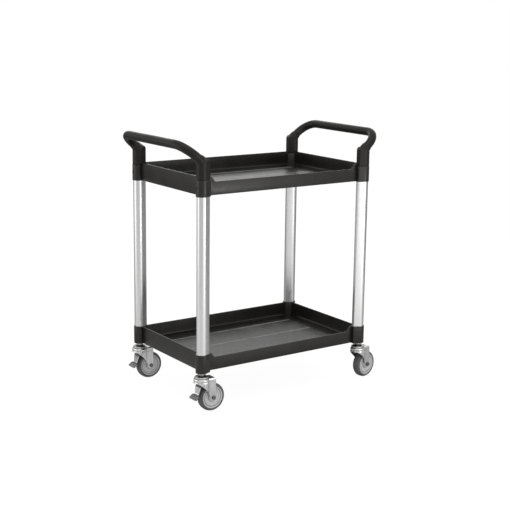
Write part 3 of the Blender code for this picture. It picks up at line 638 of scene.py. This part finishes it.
def make_tray(name, base, upper):
    """Shell, ribs, beads and collars. The posts pass through the upper tray and stand in the lower one."""
    rim = base + TRAY_HEIGHT
    above = rim + 2 * PAST
    steps = [("DIFFERENCE", underside_pockets(name, base))]
    collar_top = rim - UPPER_COLLAR_DROP if upper else rim + COLLAR_SKIRT
    bottom = base - COLLAR_SKIRT
    hole_bottom = bottom - PAST if upper else POST_BOTTOM
    for x_side, y_side in CORNERS.values():
        centre = (x_side * POST_X, y_side * POST_Y)
        if upper:
            room = keyhole(LEG_SHAPE, -x_side, centre, GAP)
            steps.append(("DIFFERENCE", prism("leg_room", room, collar_top, above)))
        collar = keyhole(COLLAR_SHAPE, -x_side, centre)
        steps.append(("UNION", prism("collar", collar, bottom, collar_top, 0.0010, 0.0006)))
        hole = keyhole(POST_SHAPE, -x_side, centre, GAP)
        steps.append(("DIFFERENCE", prism("post_hole", hole, hole_bottom, above)))
        if not upper:
            stem_hole = cylinder("stem_hole", STEM_RADIUS + GAP, bottom - PAST, rim, 32, centre)
            steps.append(("DIFFERENCE", stem_hole))
    for y in (-BEAD_Y, 0.0, BEAD_Y):
        steps.append(("UNION", bead("bead", y, base + FLOOR_TOP)))
    mesh = carve(tray_shell(name + "_shell", base), steps)
    show(name + "_shell", mesh, TRAY_PLASTIC, "chassis", [name])


# ---------------------------------------------------------------- posts and handles
def make_posts():
    """Keyhole extrusions with a round bore, the ear towards the middle of the trolley."""
    ear_corner = 0.0022
    mesh = {}
    for side in (-1, 1):
        outside = prism("post_tube", keyhole(POST_SHAPE, -side, corner=ear_corner), POST_BOTTOM, POST_TOP)
        inside = cylinder("post_bore", POST_BORE, POST_BOTTOM - PAST, POST_TOP + PAST, 56)
        mesh[side] = carve(outside, [("DIFFERENCE", inside)])
    for corner, (x_side, y_side) in CORNERS.items():
        show(f"post_tube_{corner}", mesh[x_side], ALUMINIUM, "chassis", [f"post_{corner}"],
             (x_side * POST_X, y_side * POST_Y, 0.0))


def handle_path():
    """The right handle's centre line as (point, swell), from leg to leg."""
    lean = Vector((HANDLE_REACH, 0.0, HANDLE_BAR_Z - HANDLE_BEND_Z))
    run = lean.length
    lean.normalize()
    bend = Vector((0.0, 0.0, HANDLE_BEND_Z))
    up = Vector((0.0, 0.0, 1.0))
    angle = up.angle(lean)
    tangent = HANDLE_BEND_RADIUS * math.tan(angle / 2)
    bend_steps, corner_steps = 8, 14
    half = [(Vector((0.0, POST_Y, HANDLE_BEND_Z - TUBE_FOOT)), HANDLE_SWELL)]
    for i in range(bend_steps + 1):
        turn = angle * i / bend_steps
        centre = bend - up * tangent + Vector((HANDLE_BEND_RADIUS, 0.0, 0.0))
        arc = Vector((-HANDLE_BEND_RADIUS * math.cos(turn), POST_Y, HANDLE_BEND_RADIUS * math.sin(turn)))
        half.append((centre + arc, HANDLE_SWELL))
    for i in range(corner_steps + 1):
        turn = math.pi / 2 * i / corner_steps
        along = run - HANDLE_CORNER + HANDLE_CORNER * math.sin(turn)
        inward = HANDLE_CORNER * (1 - math.cos(turn))
        half.append((bend + lean * along + Vector((0.0, POST_Y - inward, 0.0)), 1.0))
    path = half + [(Vector((p.x, -p.y, p.z)), swell) for p, swell in reversed(half)]
    return [(Vector((POST_X + p.x, p.y, p.z)), swell) for p, swell in path]


def tube(name, path, radius, segments=48):
    """A round tube with flat ends along (point, swell) stations that stay in planes through Y."""
    bm = bmesh.new()
    rings = []
    side = Vector((1, 0, 0))
    for i, (point, swell) in enumerate(path):
        before = path[max(i - 1, 0)][0]
        after = path[min(i + 1, len(path) - 1)][0]
        along = (after - before).normalized()
        side = (side - along * side.dot(along)).normalized()
        other = along.cross(side)
        turns = [2 * math.pi * k / segments for k in range(segments)]
        rings.append([
            bm.verts.new(point + (side * math.cos(t) + other * math.sin(t)) * radius * swell) for t in turns
        ])
    for one, two in zip(rings, rings[1:]):
        for k in range(segments):
            j = (k + 1) % segments
            bm.faces.new((one[k], one[j], two[j], two[k]))
    bm.faces.new(rings[0])
    bm.faces.new(rings[-1])
    return finish_mesh(name, bm)


def slab(name, matrix):
    """A block whose lower face lies on the matrix's XY plane, to slice with."""
    size = 0.16
    bm = bmesh.new()
    bmesh.ops.create_cube(bm, size=size, matrix=matrix @ Matrix.Translation((0, 0, size / 2)))
    return finish_mesh(name, bm)


def ear_gusset(centre):
    """The leg's inner ear, which runs on up to the leaning tube."""
    inner, outer, half = LEG_SHAPE[1], 0.004, LEG_SHAPE[2] - 0.002
    corner, drop = 0.0035, 0.020
    outline = rounded([(-inner, -half), (-outer, -half), (-outer, half), (-inner, half)], corner, 5)
    outline = [(centre[0] + x, centre[1] + y) for x, y in outline]
    return prism("ear_gusset", outline, HANDLE_BEND_Z - drop, HANDLE_BEND_Z + LEG_RUN_ON)


def make_handles():
    """Leaning tube, keyhole legs, gussets and spigots in one moulding. The left one is its mirror."""
    lean = Vector((HANDLE_REACH, 0.0, HANDLE_BAR_Z - HANDLE_BEND_Z)).normalized()
    slope = math.asin(lean.z)
    mitre = math.acos(lean.z) / 2
    base = UPPER_TRAY_Z + TRAY_HEIGHT - UPPER_COLLAR_DROP + GAP
    steps = []
    sunk = 0.0006
    for y_side in (-1, 1):
        centre = (POST_X, y_side * POST_Y)
        leg = prism("leg", keyhole(LEG_SHAPE, -1, centre), base, HANDLE_BEND_Z + LEG_RUN_ON)
        bend = Vector((*centre, HANDLE_BEND_Z))
        over_tube = Vector((-lean.z, 0.0, lean.x)) * (HANDLE_RADIUS * HANDLE_SWELL - sunk)
        shoulder = slab("shoulder", Matrix.Translation(bend + over_tube) @ Matrix.Rotation(-slope, 4, "Y"))
        corner = slab("mitre", Matrix.Translation(bend) @ Matrix.Rotation(mitre, 4, "Y"))
        steps.append(("UNION", carve(leg, [("DIFFERENCE", shoulder), ("DIFFERENCE", corner)])))
        steps.append(("UNION", carve(ear_gusset(centre), [("DIFFERENCE", shoulder)])))
        steps.append(("UNION", cylinder("spigot", SPIGOT_RADIUS, SPIGOT_BOTTOM, base + PAST, 48, centre)))
    mesh = carve(tube("handle_tube", handle_path(), HANDLE_RADIUS - HANDLE_MARGIN), steps)
    mesh = remelt(mesh, 0.0014, 6)
    show("handle_right_moulding", mesh, HANDLE_PLASTIC, "chassis", ["right_handle"])
    other = mesh.copy()
    other.transform(Matrix.Diagonal((-1, 1, 1, 1)))
    other.flip_normals()
    show("handle_left_moulding", other, HANDLE_PLASTIC, "chassis", ["left_handle"])


def make_handle_screws():
    """Pan heads with a cross recess, driven in from the two ends of the trolley."""
    seat = COLLAR_SHAPE[0] + GAP
    tip, shank, head_radius, head_height = 0.005, 0.0021, 0.0042, 0.0022
    profile = [(0.0, tip, 0), (shank, tip), (shank, seat), (head_radius, seat),
               (head_radius - 0.0003, seat + 0.0016, 0.001), (0.0, seat + head_height, 0)]
    head = turned("screw", profile, 32, 0.0003, closed=False)
    slot_size = (0.0046, 0.0009, 0.003, 1.0)
    cross = []
    for turn in (0.0, math.pi / 2):
        bm = bmesh.new()
        size = Matrix.Rotation(turn, 4, "Z") @ Matrix.Diagonal(slot_size)
        place = Matrix.Translation((0, 0, seat + head_height + 0.0005))
        bmesh.ops.create_cube(bm, size=1.0, matrix=place @ size)
        cross.append(("DIFFERENCE", finish_mesh("recess", bm)))
    head = carve(head, cross)
    for x_side in (-1, 1):
        mesh = head.copy()
        mesh.transform(Matrix.Rotation(x_side * math.pi / 2, 4, "Y"))
        for y_side, row in ((-1, "front"), (1, "rear")):
            corner = f"{row}_{'left' if x_side < 0 else 'right'}"
            show(f"pan_head_{corner}", mesh, NYLON, "chassis", [f"handle_screw_{corner}"],
                 (x_side * POST_X, y_side * POST_Y, SCREW_Z))


# ---------------------------------------------------------------- castors, in the castor's own frame
def fork_side():
    """The fork's side view (x, z): flat top, round axle ends, hollow sweep up to the nose."""
    front, rear, shoulder = -0.0400, TRAIL + CHEEK_BEHIND, 0.0050
    outline = [(front, FORK_TOP + PAST), (rear - shoulder, FORK_TOP + PAST), (rear - shoulder, FORK_TOP),
               (rear, FORK_TOP - shoulder)]
    end_steps, sweep_steps = 16, 12
    for i in range(end_steps + 1):
        angle = math.radians(5 - 180 * i / end_steps)
        reach = CHEEK_BEHIND if math.cos(angle) > 0 else CHEEK_AHEAD
        outline.append((TRAIL + reach * math.cos(angle), WHEEL_RADIUS + CHEEK_BELOW * math.sin(angle)))
    foot = Vector((TRAIL - CHEEK_AHEAD - 0.001, WHEEL_RADIUS + 0.006))
    pull = Vector((0.0120, 0.0830))
    nose = Vector((-0.0225, FORK_TOP - 0.0166))
    for i in range(sweep_steps + 1):
        t = i / sweep_steps
        outline.append(tuple(foot * (1 - t) ** 2 + pull * 2 * t * (1 - t) + nose * t ** 2))
    outline.append((front, FORK_TOP - 0.0150))
    return outline


def fork_plan(inset, rear):
    """The fork from above: straight cheeks that flare out into a round nose."""
    radius = NOSE_RADIUS - inset
    straight = CHEEK_OUTER - inset
    join_width = math.sqrt(radius ** 2 - FLARE_START ** 2)
    flare_steps, nose_steps = 8, 16
    side = [(rear, straight)]
    for i in range(flare_steps, 0, -1):
        t = i / flare_steps
        ease = (1 - math.cos(math.pi * t)) / 2
        along = FLARE_START + (FLARE_END - FLARE_START) * t
        side.append((along, join_width + (straight - join_width) * ease))
    first = math.atan2(join_width, FLARE_START)
    for i in range(nose_steps):
        angle = first + (math.pi - first) * i / nose_steps
        side.append((radius * math.cos(angle), radius * math.sin(angle)))
    return side + [(-radius, 0.0)] + [(x, -y) for x, y in reversed(side)]


def fork_mesh():
    """Pressed fork: plan and side view intersected, hollowed, melted soft, and grooved round its nose."""
    low, rear, half_width = 0.030, 0.060, 0.050
    outer = prism("fork", fork_plan(0.0, rear), low, FORK_TOP, soft_top=0.0062, steps=5)
    side = prism("fork_side", fork_side(), -half_width, half_width, matrix=FACING_Y)
    inside = fork_plan(CHEEK_OUTER - CHEEK_INNER, rear + PAST)
    hollow = prism("hollow", inside, low - PAST, FORK_TOP - FORK_PLATE, soft_top=0.0040)
    axle_hole = cylinder("axle_hole", AXLE_RADIUS + GAP, -half_width, half_width, 32)
    axle_hole.transform(Matrix.Translation((TRAIL, 0, WHEEL_RADIUS)) @ FACING_Y)
    stem_hole = cylinder("stem_hole", STEM_RADIUS + GAP, FORK_TOP - PAST, FORK_TOP + PAST, 32)
    mesh = carve(outer, [("INTERSECT", side), ("DIFFERENCE", hollow), ("DIFFERENCE", stem_hole),
                         ("DIFFERENCE", axle_hole)])
    mesh = remelt(mesh, 0.0007, 4)
    for vertex in mesh.vertices:
        x, y, z = vertex.co
        fade = min(1.0, max(0.0, (FLARE_START - x) / GROOVE_RUN_OUT))
        if fade and z < FORK_TOP - GROOVE_CLEAR:
            depth = GROOVE_DEPTH * fade * math.exp(-((z - GROOVE_Z) / GROOVE_HALF_WIDTH) ** 2)
            reach = math.hypot(x, y)
            vertex.co = (x * (1 - depth / reach), y * (1 - depth / reach), z)
    mesh.update()
    return mesh


def mirrored(half):
    """A turned profile from its lower half."""
    return half + [(r, -z, corner) for r, z, corner in reversed(half)]


def wheel_meshes():
    """Tyre with a rounded tread, and core with turned grooves, as (r, z, corner radius) profiles."""
    w = TYRE_HALF_WIDTH
    half_tyre = [
        (WHEEL_RADIUS, -0.0060, 0.004), (WHEEL_RADIUS - 0.0016, -0.0112, 0.003),
        (WHEEL_RADIUS - 0.0058, -w, 0.0015), (TYRE_INNER + 0.0022, -w, 0.0008),
        (TYRE_INNER, -w + 0.0020, 0.0005),
    ]
    tyre = turned("tyre", mirrored(half_tyre), 96, steps=5, angle=50)
    rim = TYRE_INNER - GAP
    half_core = [
        (rim, -0.0138, 0.0010), (rim - 0.0036, -0.0138, 0.0010), (rim - 0.0046, -0.0098, 0.0010),
        (rim - 0.0076, -0.0098, 0.0010), (rim - 0.0088, -0.0126, 0.0010), (rim - 0.0120, -0.0126, 0.0015),
        (rim - 0.0150, -0.0088, 0.0030), (0.0175, -0.0088, 0.0030), (0.0148, -0.0120, 0.0020),
        (0.0130, -0.0165, 0.0010), (CORE_BORE, -0.0165, 0.0003),
    ]
    core = turned("core", mirrored(half_core), 96)
    for mesh in (tyre, core):
        mesh.transform(FACING_Y)
    return tyre, core


def hex_head(name, radius, low, high, chamfer, hole=0.0):
    """A hexagon with its end corners turned off."""
    body = prism(name, circle(radius, 6), low, high)
    wide, under, over = radius + 0.001, low - 0.001, high + 0.0003
    profile = [(0.0, under), (wide, under), (wide, high - chamfer), (radius * 0.84, over), (0.0, over)]
    cone = turned("cone", profile, 48, 0, closed=False)
    steps = [("INTERSECT", cone)]
    if hole:
        steps.append(("DIFFERENCE", cylinder("thread", hole, low - PAST, high + PAST, 32)))
    return carve(body, steps, 25)


def axle_meshes():
    """Bolt, nut and sleeve, lying along Y about the wheel's middle."""
    face = CHEEK_OUTER + GAP
    tip = face + 0.0068
    buried = face + 0.001
    head = hex_head("bolt", 0.0068, face, face + 0.0044, 0.0009)
    shank = turned("shank", [(0.0, buried, 0), (AXLE_RADIUS, buried, 0), (AXLE_RADIUS, -tip, 0.0006),
                             (0.0, -tip, 0)], 32, 0.0004, closed=False)
    bolt = carve(head, [("UNION", shank)], 25)
    nut = hex_head("nut", 0.0075, face, face + 0.0060, 0.0011, AXLE_RADIUS + GAP)
    bolt.transform(FACING_Y)
    nut.transform(Matrix.Rotation(-math.pi / 2, 4, "X"))
    end = CHEEK_INNER - GAP
    sleeve = turned("sleeve", [(CORE_BORE - GAP, end), (CORE_BORE - GAP, -end), (AXLE_RADIUS + GAP, -end),
                               (AXLE_RADIUS + GAP, end)], 40, 0.0004, along_y=True)
    return bolt, nut, sleeve


def swivel_meshes():
    """Stem with its seat ring, domed race cap, and the ball ring."""
    under = FORK_TOP - FORK_PLATE - GAP
    seat = LOWER_TRAY_Z - COLLAR_SKIRT - GAP
    ring_low = seat - 0.0065
    r = STEM_RADIUS
    flange = STEM_FLANGE_RADIUS
    rivet = under - 0.0030
    stem = turned("stem", [
        (0.0, STEM_TOP, 0), (r, STEM_TOP, 0.001), (r, seat, 0.0002), (flange, seat, 0.0012),
        (flange, ring_low, 0.0012), (r, ring_low, 0.0002), (r, under, 0.0002), (0.0095, under, 0.0004),
        (0.0080, rivet, 0.001), (0.0, rivet, 0),
    ], 64, closed=False)
    low = FORK_TOP + GAP
    bore = STEM_RADIUS + GAP
    top = ring_low - GAP
    cap = turned("cap", [
        (bore + 0.0030, top, 0.001), (0.0135, top - 0.0010, 0.003), (0.0215, top - 0.0046, 0.004),
        (CAP_RADIUS, low + 0.0040, 0.003), (CAP_RADIUS, low, 0.0008), (0.0158, low, 0.0004),
        (0.0150, low + 0.0048, 0.001), (bore, low + 0.0048, 0.0003), (bore, top, 0.0004),
    ], 96, steps=6)
    section = circle(BALL_RADIUS, 12, (BALL_PITCH_RADIUS, low + BALL_RADIUS))
    balls = turned("balls", section, 64, 0)
    return stem, cap, balls


def lever_line():
    """The lever's middle line from the pivot to the tip of the foot tongue, as close (x, z) points."""
    corners = [(-0.0028, -0.0026, 0), (-0.0080, -0.0090, 0.004), (-0.0105, -0.0200, 0.008),
               (-0.0125, -0.0320, 0.003), (-0.0150, -0.0365, 0.004), (-0.0315, -0.0490, 0)]
    spacing = 0.0011
    line = rounded(corners, 0.002, 4, closed=False)
    dense = []
    for a, b in zip(line, line[1:]):
        count = max(1, round(math.dist(a, b) / spacing))
        step = (b[0] - a[0], b[1] - a[1])
        dense += [(a[0] + step[0] * k / count, a[1] + step[1] * k / count) for k in range(count)]
    return dense + [line[-1]]


def lever_mesh():
    """Bent steel strip that widens into a ribbed foot tongue, with its hub round the pin."""
    line = [Vector(p) for p in lever_line()]
    total = [0.0]
    for a, b in zip(line, line[1:]):
        total.append(total[-1] + (b - a).length)
    widen_from, widen_to, tip, tip_corner = 0.0335, 0.0390, total[-1], 0.004
    rib_height, rib_pitch, plain_tip = 0.0006, 0.0034, 0.0015
    half, edge, top_edge, inset = LEVER_THICKNESS / 2, 0.0006, 0.0003, 0.002
    bm = bmesh.new()
    rings = []
    for i, point in enumerate(line):
        run = (line[min(i + 1, len(line) - 1)] - line[max(i - 1, 0)]).normalized()
        normal = Vector((-run.y, run.x))
        s = total[i]
        t = min(1.0, max(0.0, (s - widen_from) / (widen_to - widen_from)))
        arm = LEVER_TOP_HALF_WIDTH + (LEVER_HALF_WIDTH - LEVER_TOP_HALF_WIDTH) * min(1.0, s / widen_from)
        width = arm + (TONGUE_HALF_WIDTH - arm) * (1 - math.cos(math.pi * t)) / 2
        corner = max(0.0, s - (tip - tip_corner))
        if corner:
            width -= tip_corner - math.sqrt(max(0.0, tip_corner ** 2 - corner ** 2))
        rib = 0.0
        if widen_to < s < tip - plain_tip:
            rib = rib_height * max(0.0, math.sin((s - widen_to) / rib_pitch * 2 * math.pi))
        top = half - top_edge
        section = [(-width + edge, -half), (-width, -half + edge), (-width, half - edge),
                   (-width + edge, top), (-width + inset, top + rib)]
        section += [(-across, out) for across, out in reversed(section)]
        ring = []
        for across, out in section:
            place = point - normal * out
            ring.append(bm.verts.new((place.x, across, place.y)))
        rings.append(ring)
    count = len(rings[0])
    for one, two in zip(rings, rings[1:]):
        for k in range(count):
            j = (k + 1) % count
            bm.faces.new((one[k], one[j], two[j], two[k]))
    bm.faces.new(rings[0])
    bm.faces.new(rings[-1])
    strip = finish_mesh("lever", bm, 40)
    hub_radius, bore_radius, end = 0.0052, PIVOT_PIN + GAP, LEVER_HUB_HALF_WIDTH
    hub = turned("hub", [(hub_radius, end), (hub_radius, -end), (bore_radius, -end), (bore_radius, end)],
                 40, 0.0004, along_y=True)
    bore = cylinder("bore", bore_radius, -end - PAST, end + PAST, 32)
    bore.transform(FACING_Y)
    return carve(strip, [("UNION", hub), ("DIFFERENCE", bore)], 40)


def pad_mesh():
    """Brake pad with cross grooves, on the lever's inner face."""
    low, high, face = -0.0265, -0.0165, -0.0045
    groove_depth, groove_half, pitch = 0.0007, 0.0005, 0.0025
    half_width, edge = 0.0090, 0.0008
    outline = [(-0.0085, low), (face, low)]
    for k in range(3):
        z = low + pitch * (k + 1)
        outline += [(face, z - groove_half), (face - groove_depth, z), (face, z + groove_half)]
    outline += [(face, high), (-0.0078, high)]
    return prism("pad", outline, -half_width, half_width, edge, edge, matrix=FACING_Y)


def make_castors():
    """Four castors from one set of meshes, and a brake on two of them."""
    fork = fork_mesh()
    tyre, core = wheel_meshes()
    bolt, nut, sleeve = axle_meshes()
    stem, cap, balls = swivel_meshes()
    low = POST_BOTTOM + 0.0002
    outer = POST_BORE - GAP
    bore = STEM_RADIUS + GAP
    high = STEM_TOP + 0.012
    plug = turned("plug", [(outer, high, 0.0015), (outer, low), (bore, low), (bore, high)], 48)
    lever = lever_mesh()
    pad = pad_mesh()
    end = PIVOT_HALF_LENGTH
    pin = turned("pin", [(0.0, end, 0), (PIVOT_PIN, end), (PIVOT_PIN, -end), (0.0, -end, 0)],
                 32, 0.0008, closed=False, along_y=True)
    for corner, (x_side, y_side) in CORNERS.items():
        at = Vector((x_side * POST_X, y_side * POST_Y, 0.0))
        turn = CASTOR_TURN.get(corner, 0.0)
        axle = at + Vector((TRAIL * math.cos(turn), TRAIL * math.sin(turn), WHEEL_RADIUS))
        swivel = f"swivel_{corner}"
        wheel = f"wheel_{corner}"
        pieces = [
            ("stem_plug", plug, NYLON, "chassis", "nylon", "castor_socket", at, 0.0),
            ("swivel_stem", stem, STEEL, "chassis", "bright_steel", "castor_stem", at, 0.0),
            ("race_cap", cap, STEEL, "chassis", "bright_steel", "bearing_cap", at, 0.0),
            ("ball_race", balls, STEEL, swivel, "bright_steel", "ball_ring", at, turn),
            ("pressed_fork", fork, ZINC, swivel, "zinc_steel", "fork", at, turn),
            ("hex_bolt", bolt, BOLT_STEEL, swivel, "bright_steel", "axle_bolt", axle, turn),
            ("hex_nut", nut, BOLT_STEEL, swivel, "bright_steel", "axle_nut", axle, turn),
            ("sleeve", sleeve, STEEL, swivel, "bright_steel", "axle_sleeve", axle, turn),
            ("tread", tyre, TYRE_RUBBER, wheel, "tyre_rubber", "tyre", axle, turn),
            ("rim_core", core, CORE_PLASTIC, wheel, "wheel_core", "wheel_core", axle, turn),
        ]
        if corner in BRAKED:
            pivot = at + Vector((PIVOT_X, 0.0, PIVOT_Z))
            pedal = f"pedal_{corner}"
            pieces += [
                ("foot_lever", lever, LEVER_ZINC, pedal, "zinc_steel", "brake_lever", pivot, 0.0),
                ("foot_pad", pad, PAD_RUBBER, pedal, "pad_rubber", "brake_pad", pivot, 0.0),
                ("pivot_pin", pin, STEEL, swivel, "bright_steel", "brake_pin", pivot, 0.0),
            ]
        for piece, mesh, material, body, slot, node, place, spin in pieces:
            show(f"{piece}_{corner}", mesh, material, body, [f"{node}_{corner}"], place, spin)


# ---------------------------------------------------------------- stage
def seen_directly(tree, shown, elsewhere):
    """A value for what the lens sees of the backdrop itself, and another for the light it throws."""
    path = tree.nodes.new("ShaderNodeLightPath")
    mix = tree.nodes.new("ShaderNodeMapRange")
    for socket, value in (("To Min", elsewhere), ("To Max", shown)):
        if isinstance(value, float):
            mix.inputs[socket].default_value = value
        else:
            tree.links.new(value, mix.inputs[socket])
    tree.links.new(path.outputs["Is Camera Ray"], mix.inputs["Value"])
    return mix.outputs["Result"]


def make_floor():
    """White sweep. It throws less light back from under the front, and fills the shade by one castor."""
    bm = bmesh.new()
    bmesh.ops.create_grid(bm, x_segments=1, y_segments=1, size=30.0)
    floor = bpy.data.objects.new("studio_floor", finish_mesh("studio_floor", bm))
    bpy.context.scene.collection.objects.link(floor)
    look = Look("white_sweep", 1.0, specular=0.0)
    look.shader.inputs["Emission Color"].default_value = (1.0, 1.0, 1.0, 1.0)
    ahead = look.vector_math("DOT_PRODUCT", (-0.57, -0.82, 0.0))
    albedo = look.spread(ahead, 0.28, 0.80, -0.7, 0.6)
    look.colour(seen_directly(look.tree, 0.10, albedo))
    away = look.vector_math("DISTANCE", (-0.20, 0.05, 0.0))
    fill = look.spread(away, 0.35, 0.0, 0.12, 0.32)
    look.tree.links.new(seen_directly(look.tree, 0.955, fill), look.shader.inputs["Emission Strength"])
    floor.data.materials.append(look.material)


def softbox(name, location, target, size, radiance):
    """A rectangular lamp aimed at a point, as bright per area as asked whatever its size."""
    data = bpy.data.lights.new(name, "AREA")
    data.shape = "RECTANGLE"
    data.size, data.size_y = size
    data.energy = radiance * math.pi * size[0] * size[1]
    lamp = bpy.data.objects.new(name, data)
    bpy.context.scene.collection.objects.link(lamp)
    lamp.location = location
    lamp.rotation_euler = (Vector(target) - Vector(location)).to_track_quat("-Z", "Y").to_euler()
    lamp.visible_camera = False


def make_light():
    """White studio: a soft world and five lamps, one of them a small card for the front post."""
    world = bpy.data.worlds.new("studio")
    bpy.context.scene.world = world
    world.use_nodes = True
    tree = world.node_tree
    background = tree.nodes["Background"]
    background.inputs["Color"].default_value = (1.0, 1.0, 1.0, 1.0)
    tree.links.new(seen_directly(tree, 1.0, 0.60), background.inputs["Strength"])
    softbox("right_strip", (0.45, -2.10, 0.8), (0.0, 0.0, 0.6), (1.5, 1.8), 0.98)
    softbox("front_card", (0.46, -1.50, 0.42), (-0.3, -0.2, 0.75), (0.30, 0.35), 4.0)
    softbox("left", (-2.2, 1.0, 0.8), (0.0, 0.2, 0.6), (2.0, 1.8), 0.8)
    softbox("rear_top", (1.5, 2.1, 1.8), (0.0, 0.0, 0.6), (3.2, 0.8), 2.2)
    softbox("top", (-0.3, -0.6, 2.6), (0.0, 0.0, 0.8), (2.2, 1.6), 0.8)
    bpy.context.scene.view_settings.view_transform = "Standard"


def make_camera():
    """The photograph's view, solved from the straight edges of the trays and posts."""
    place = Vector((-2.388, -3.461, 1.391))
    yaw, pitch, roll = math.radians(34.84), math.radians(12.24), math.radians(0.72)
    forward = Vector((math.sin(yaw) * math.cos(pitch), math.cos(yaw) * math.cos(pitch), -math.sin(pitch)))
    level = Vector((math.cos(yaw), -math.sin(yaw), 0.0))
    upright = level.cross(forward)
    right = level * math.cos(roll) + upright * math.sin(roll)
    up = upright * math.cos(roll) - level * math.sin(roll)
    data = bpy.data.cameras.new("view")
    data.sensor_width = 36.0
    data.lens = 81.70588
    camera = bpy.data.objects.new("view", data)
    bpy.context.scene.collection.objects.link(camera)
    turn = Matrix((right, up, -forward)).transposed().to_4x4()
    camera.matrix_world = Matrix.Translation(place) @ turn
    bpy.context.scene.camera = camera


make_camera()
make_tray("lower_tray", LOWER_TRAY_Z, upper=False)
make_tray("upper_tray", UPPER_TRAY_Z, upper=True)
make_posts()
make_handles()
make_handle_screws()
make_castors()
make_floor()
make_light()
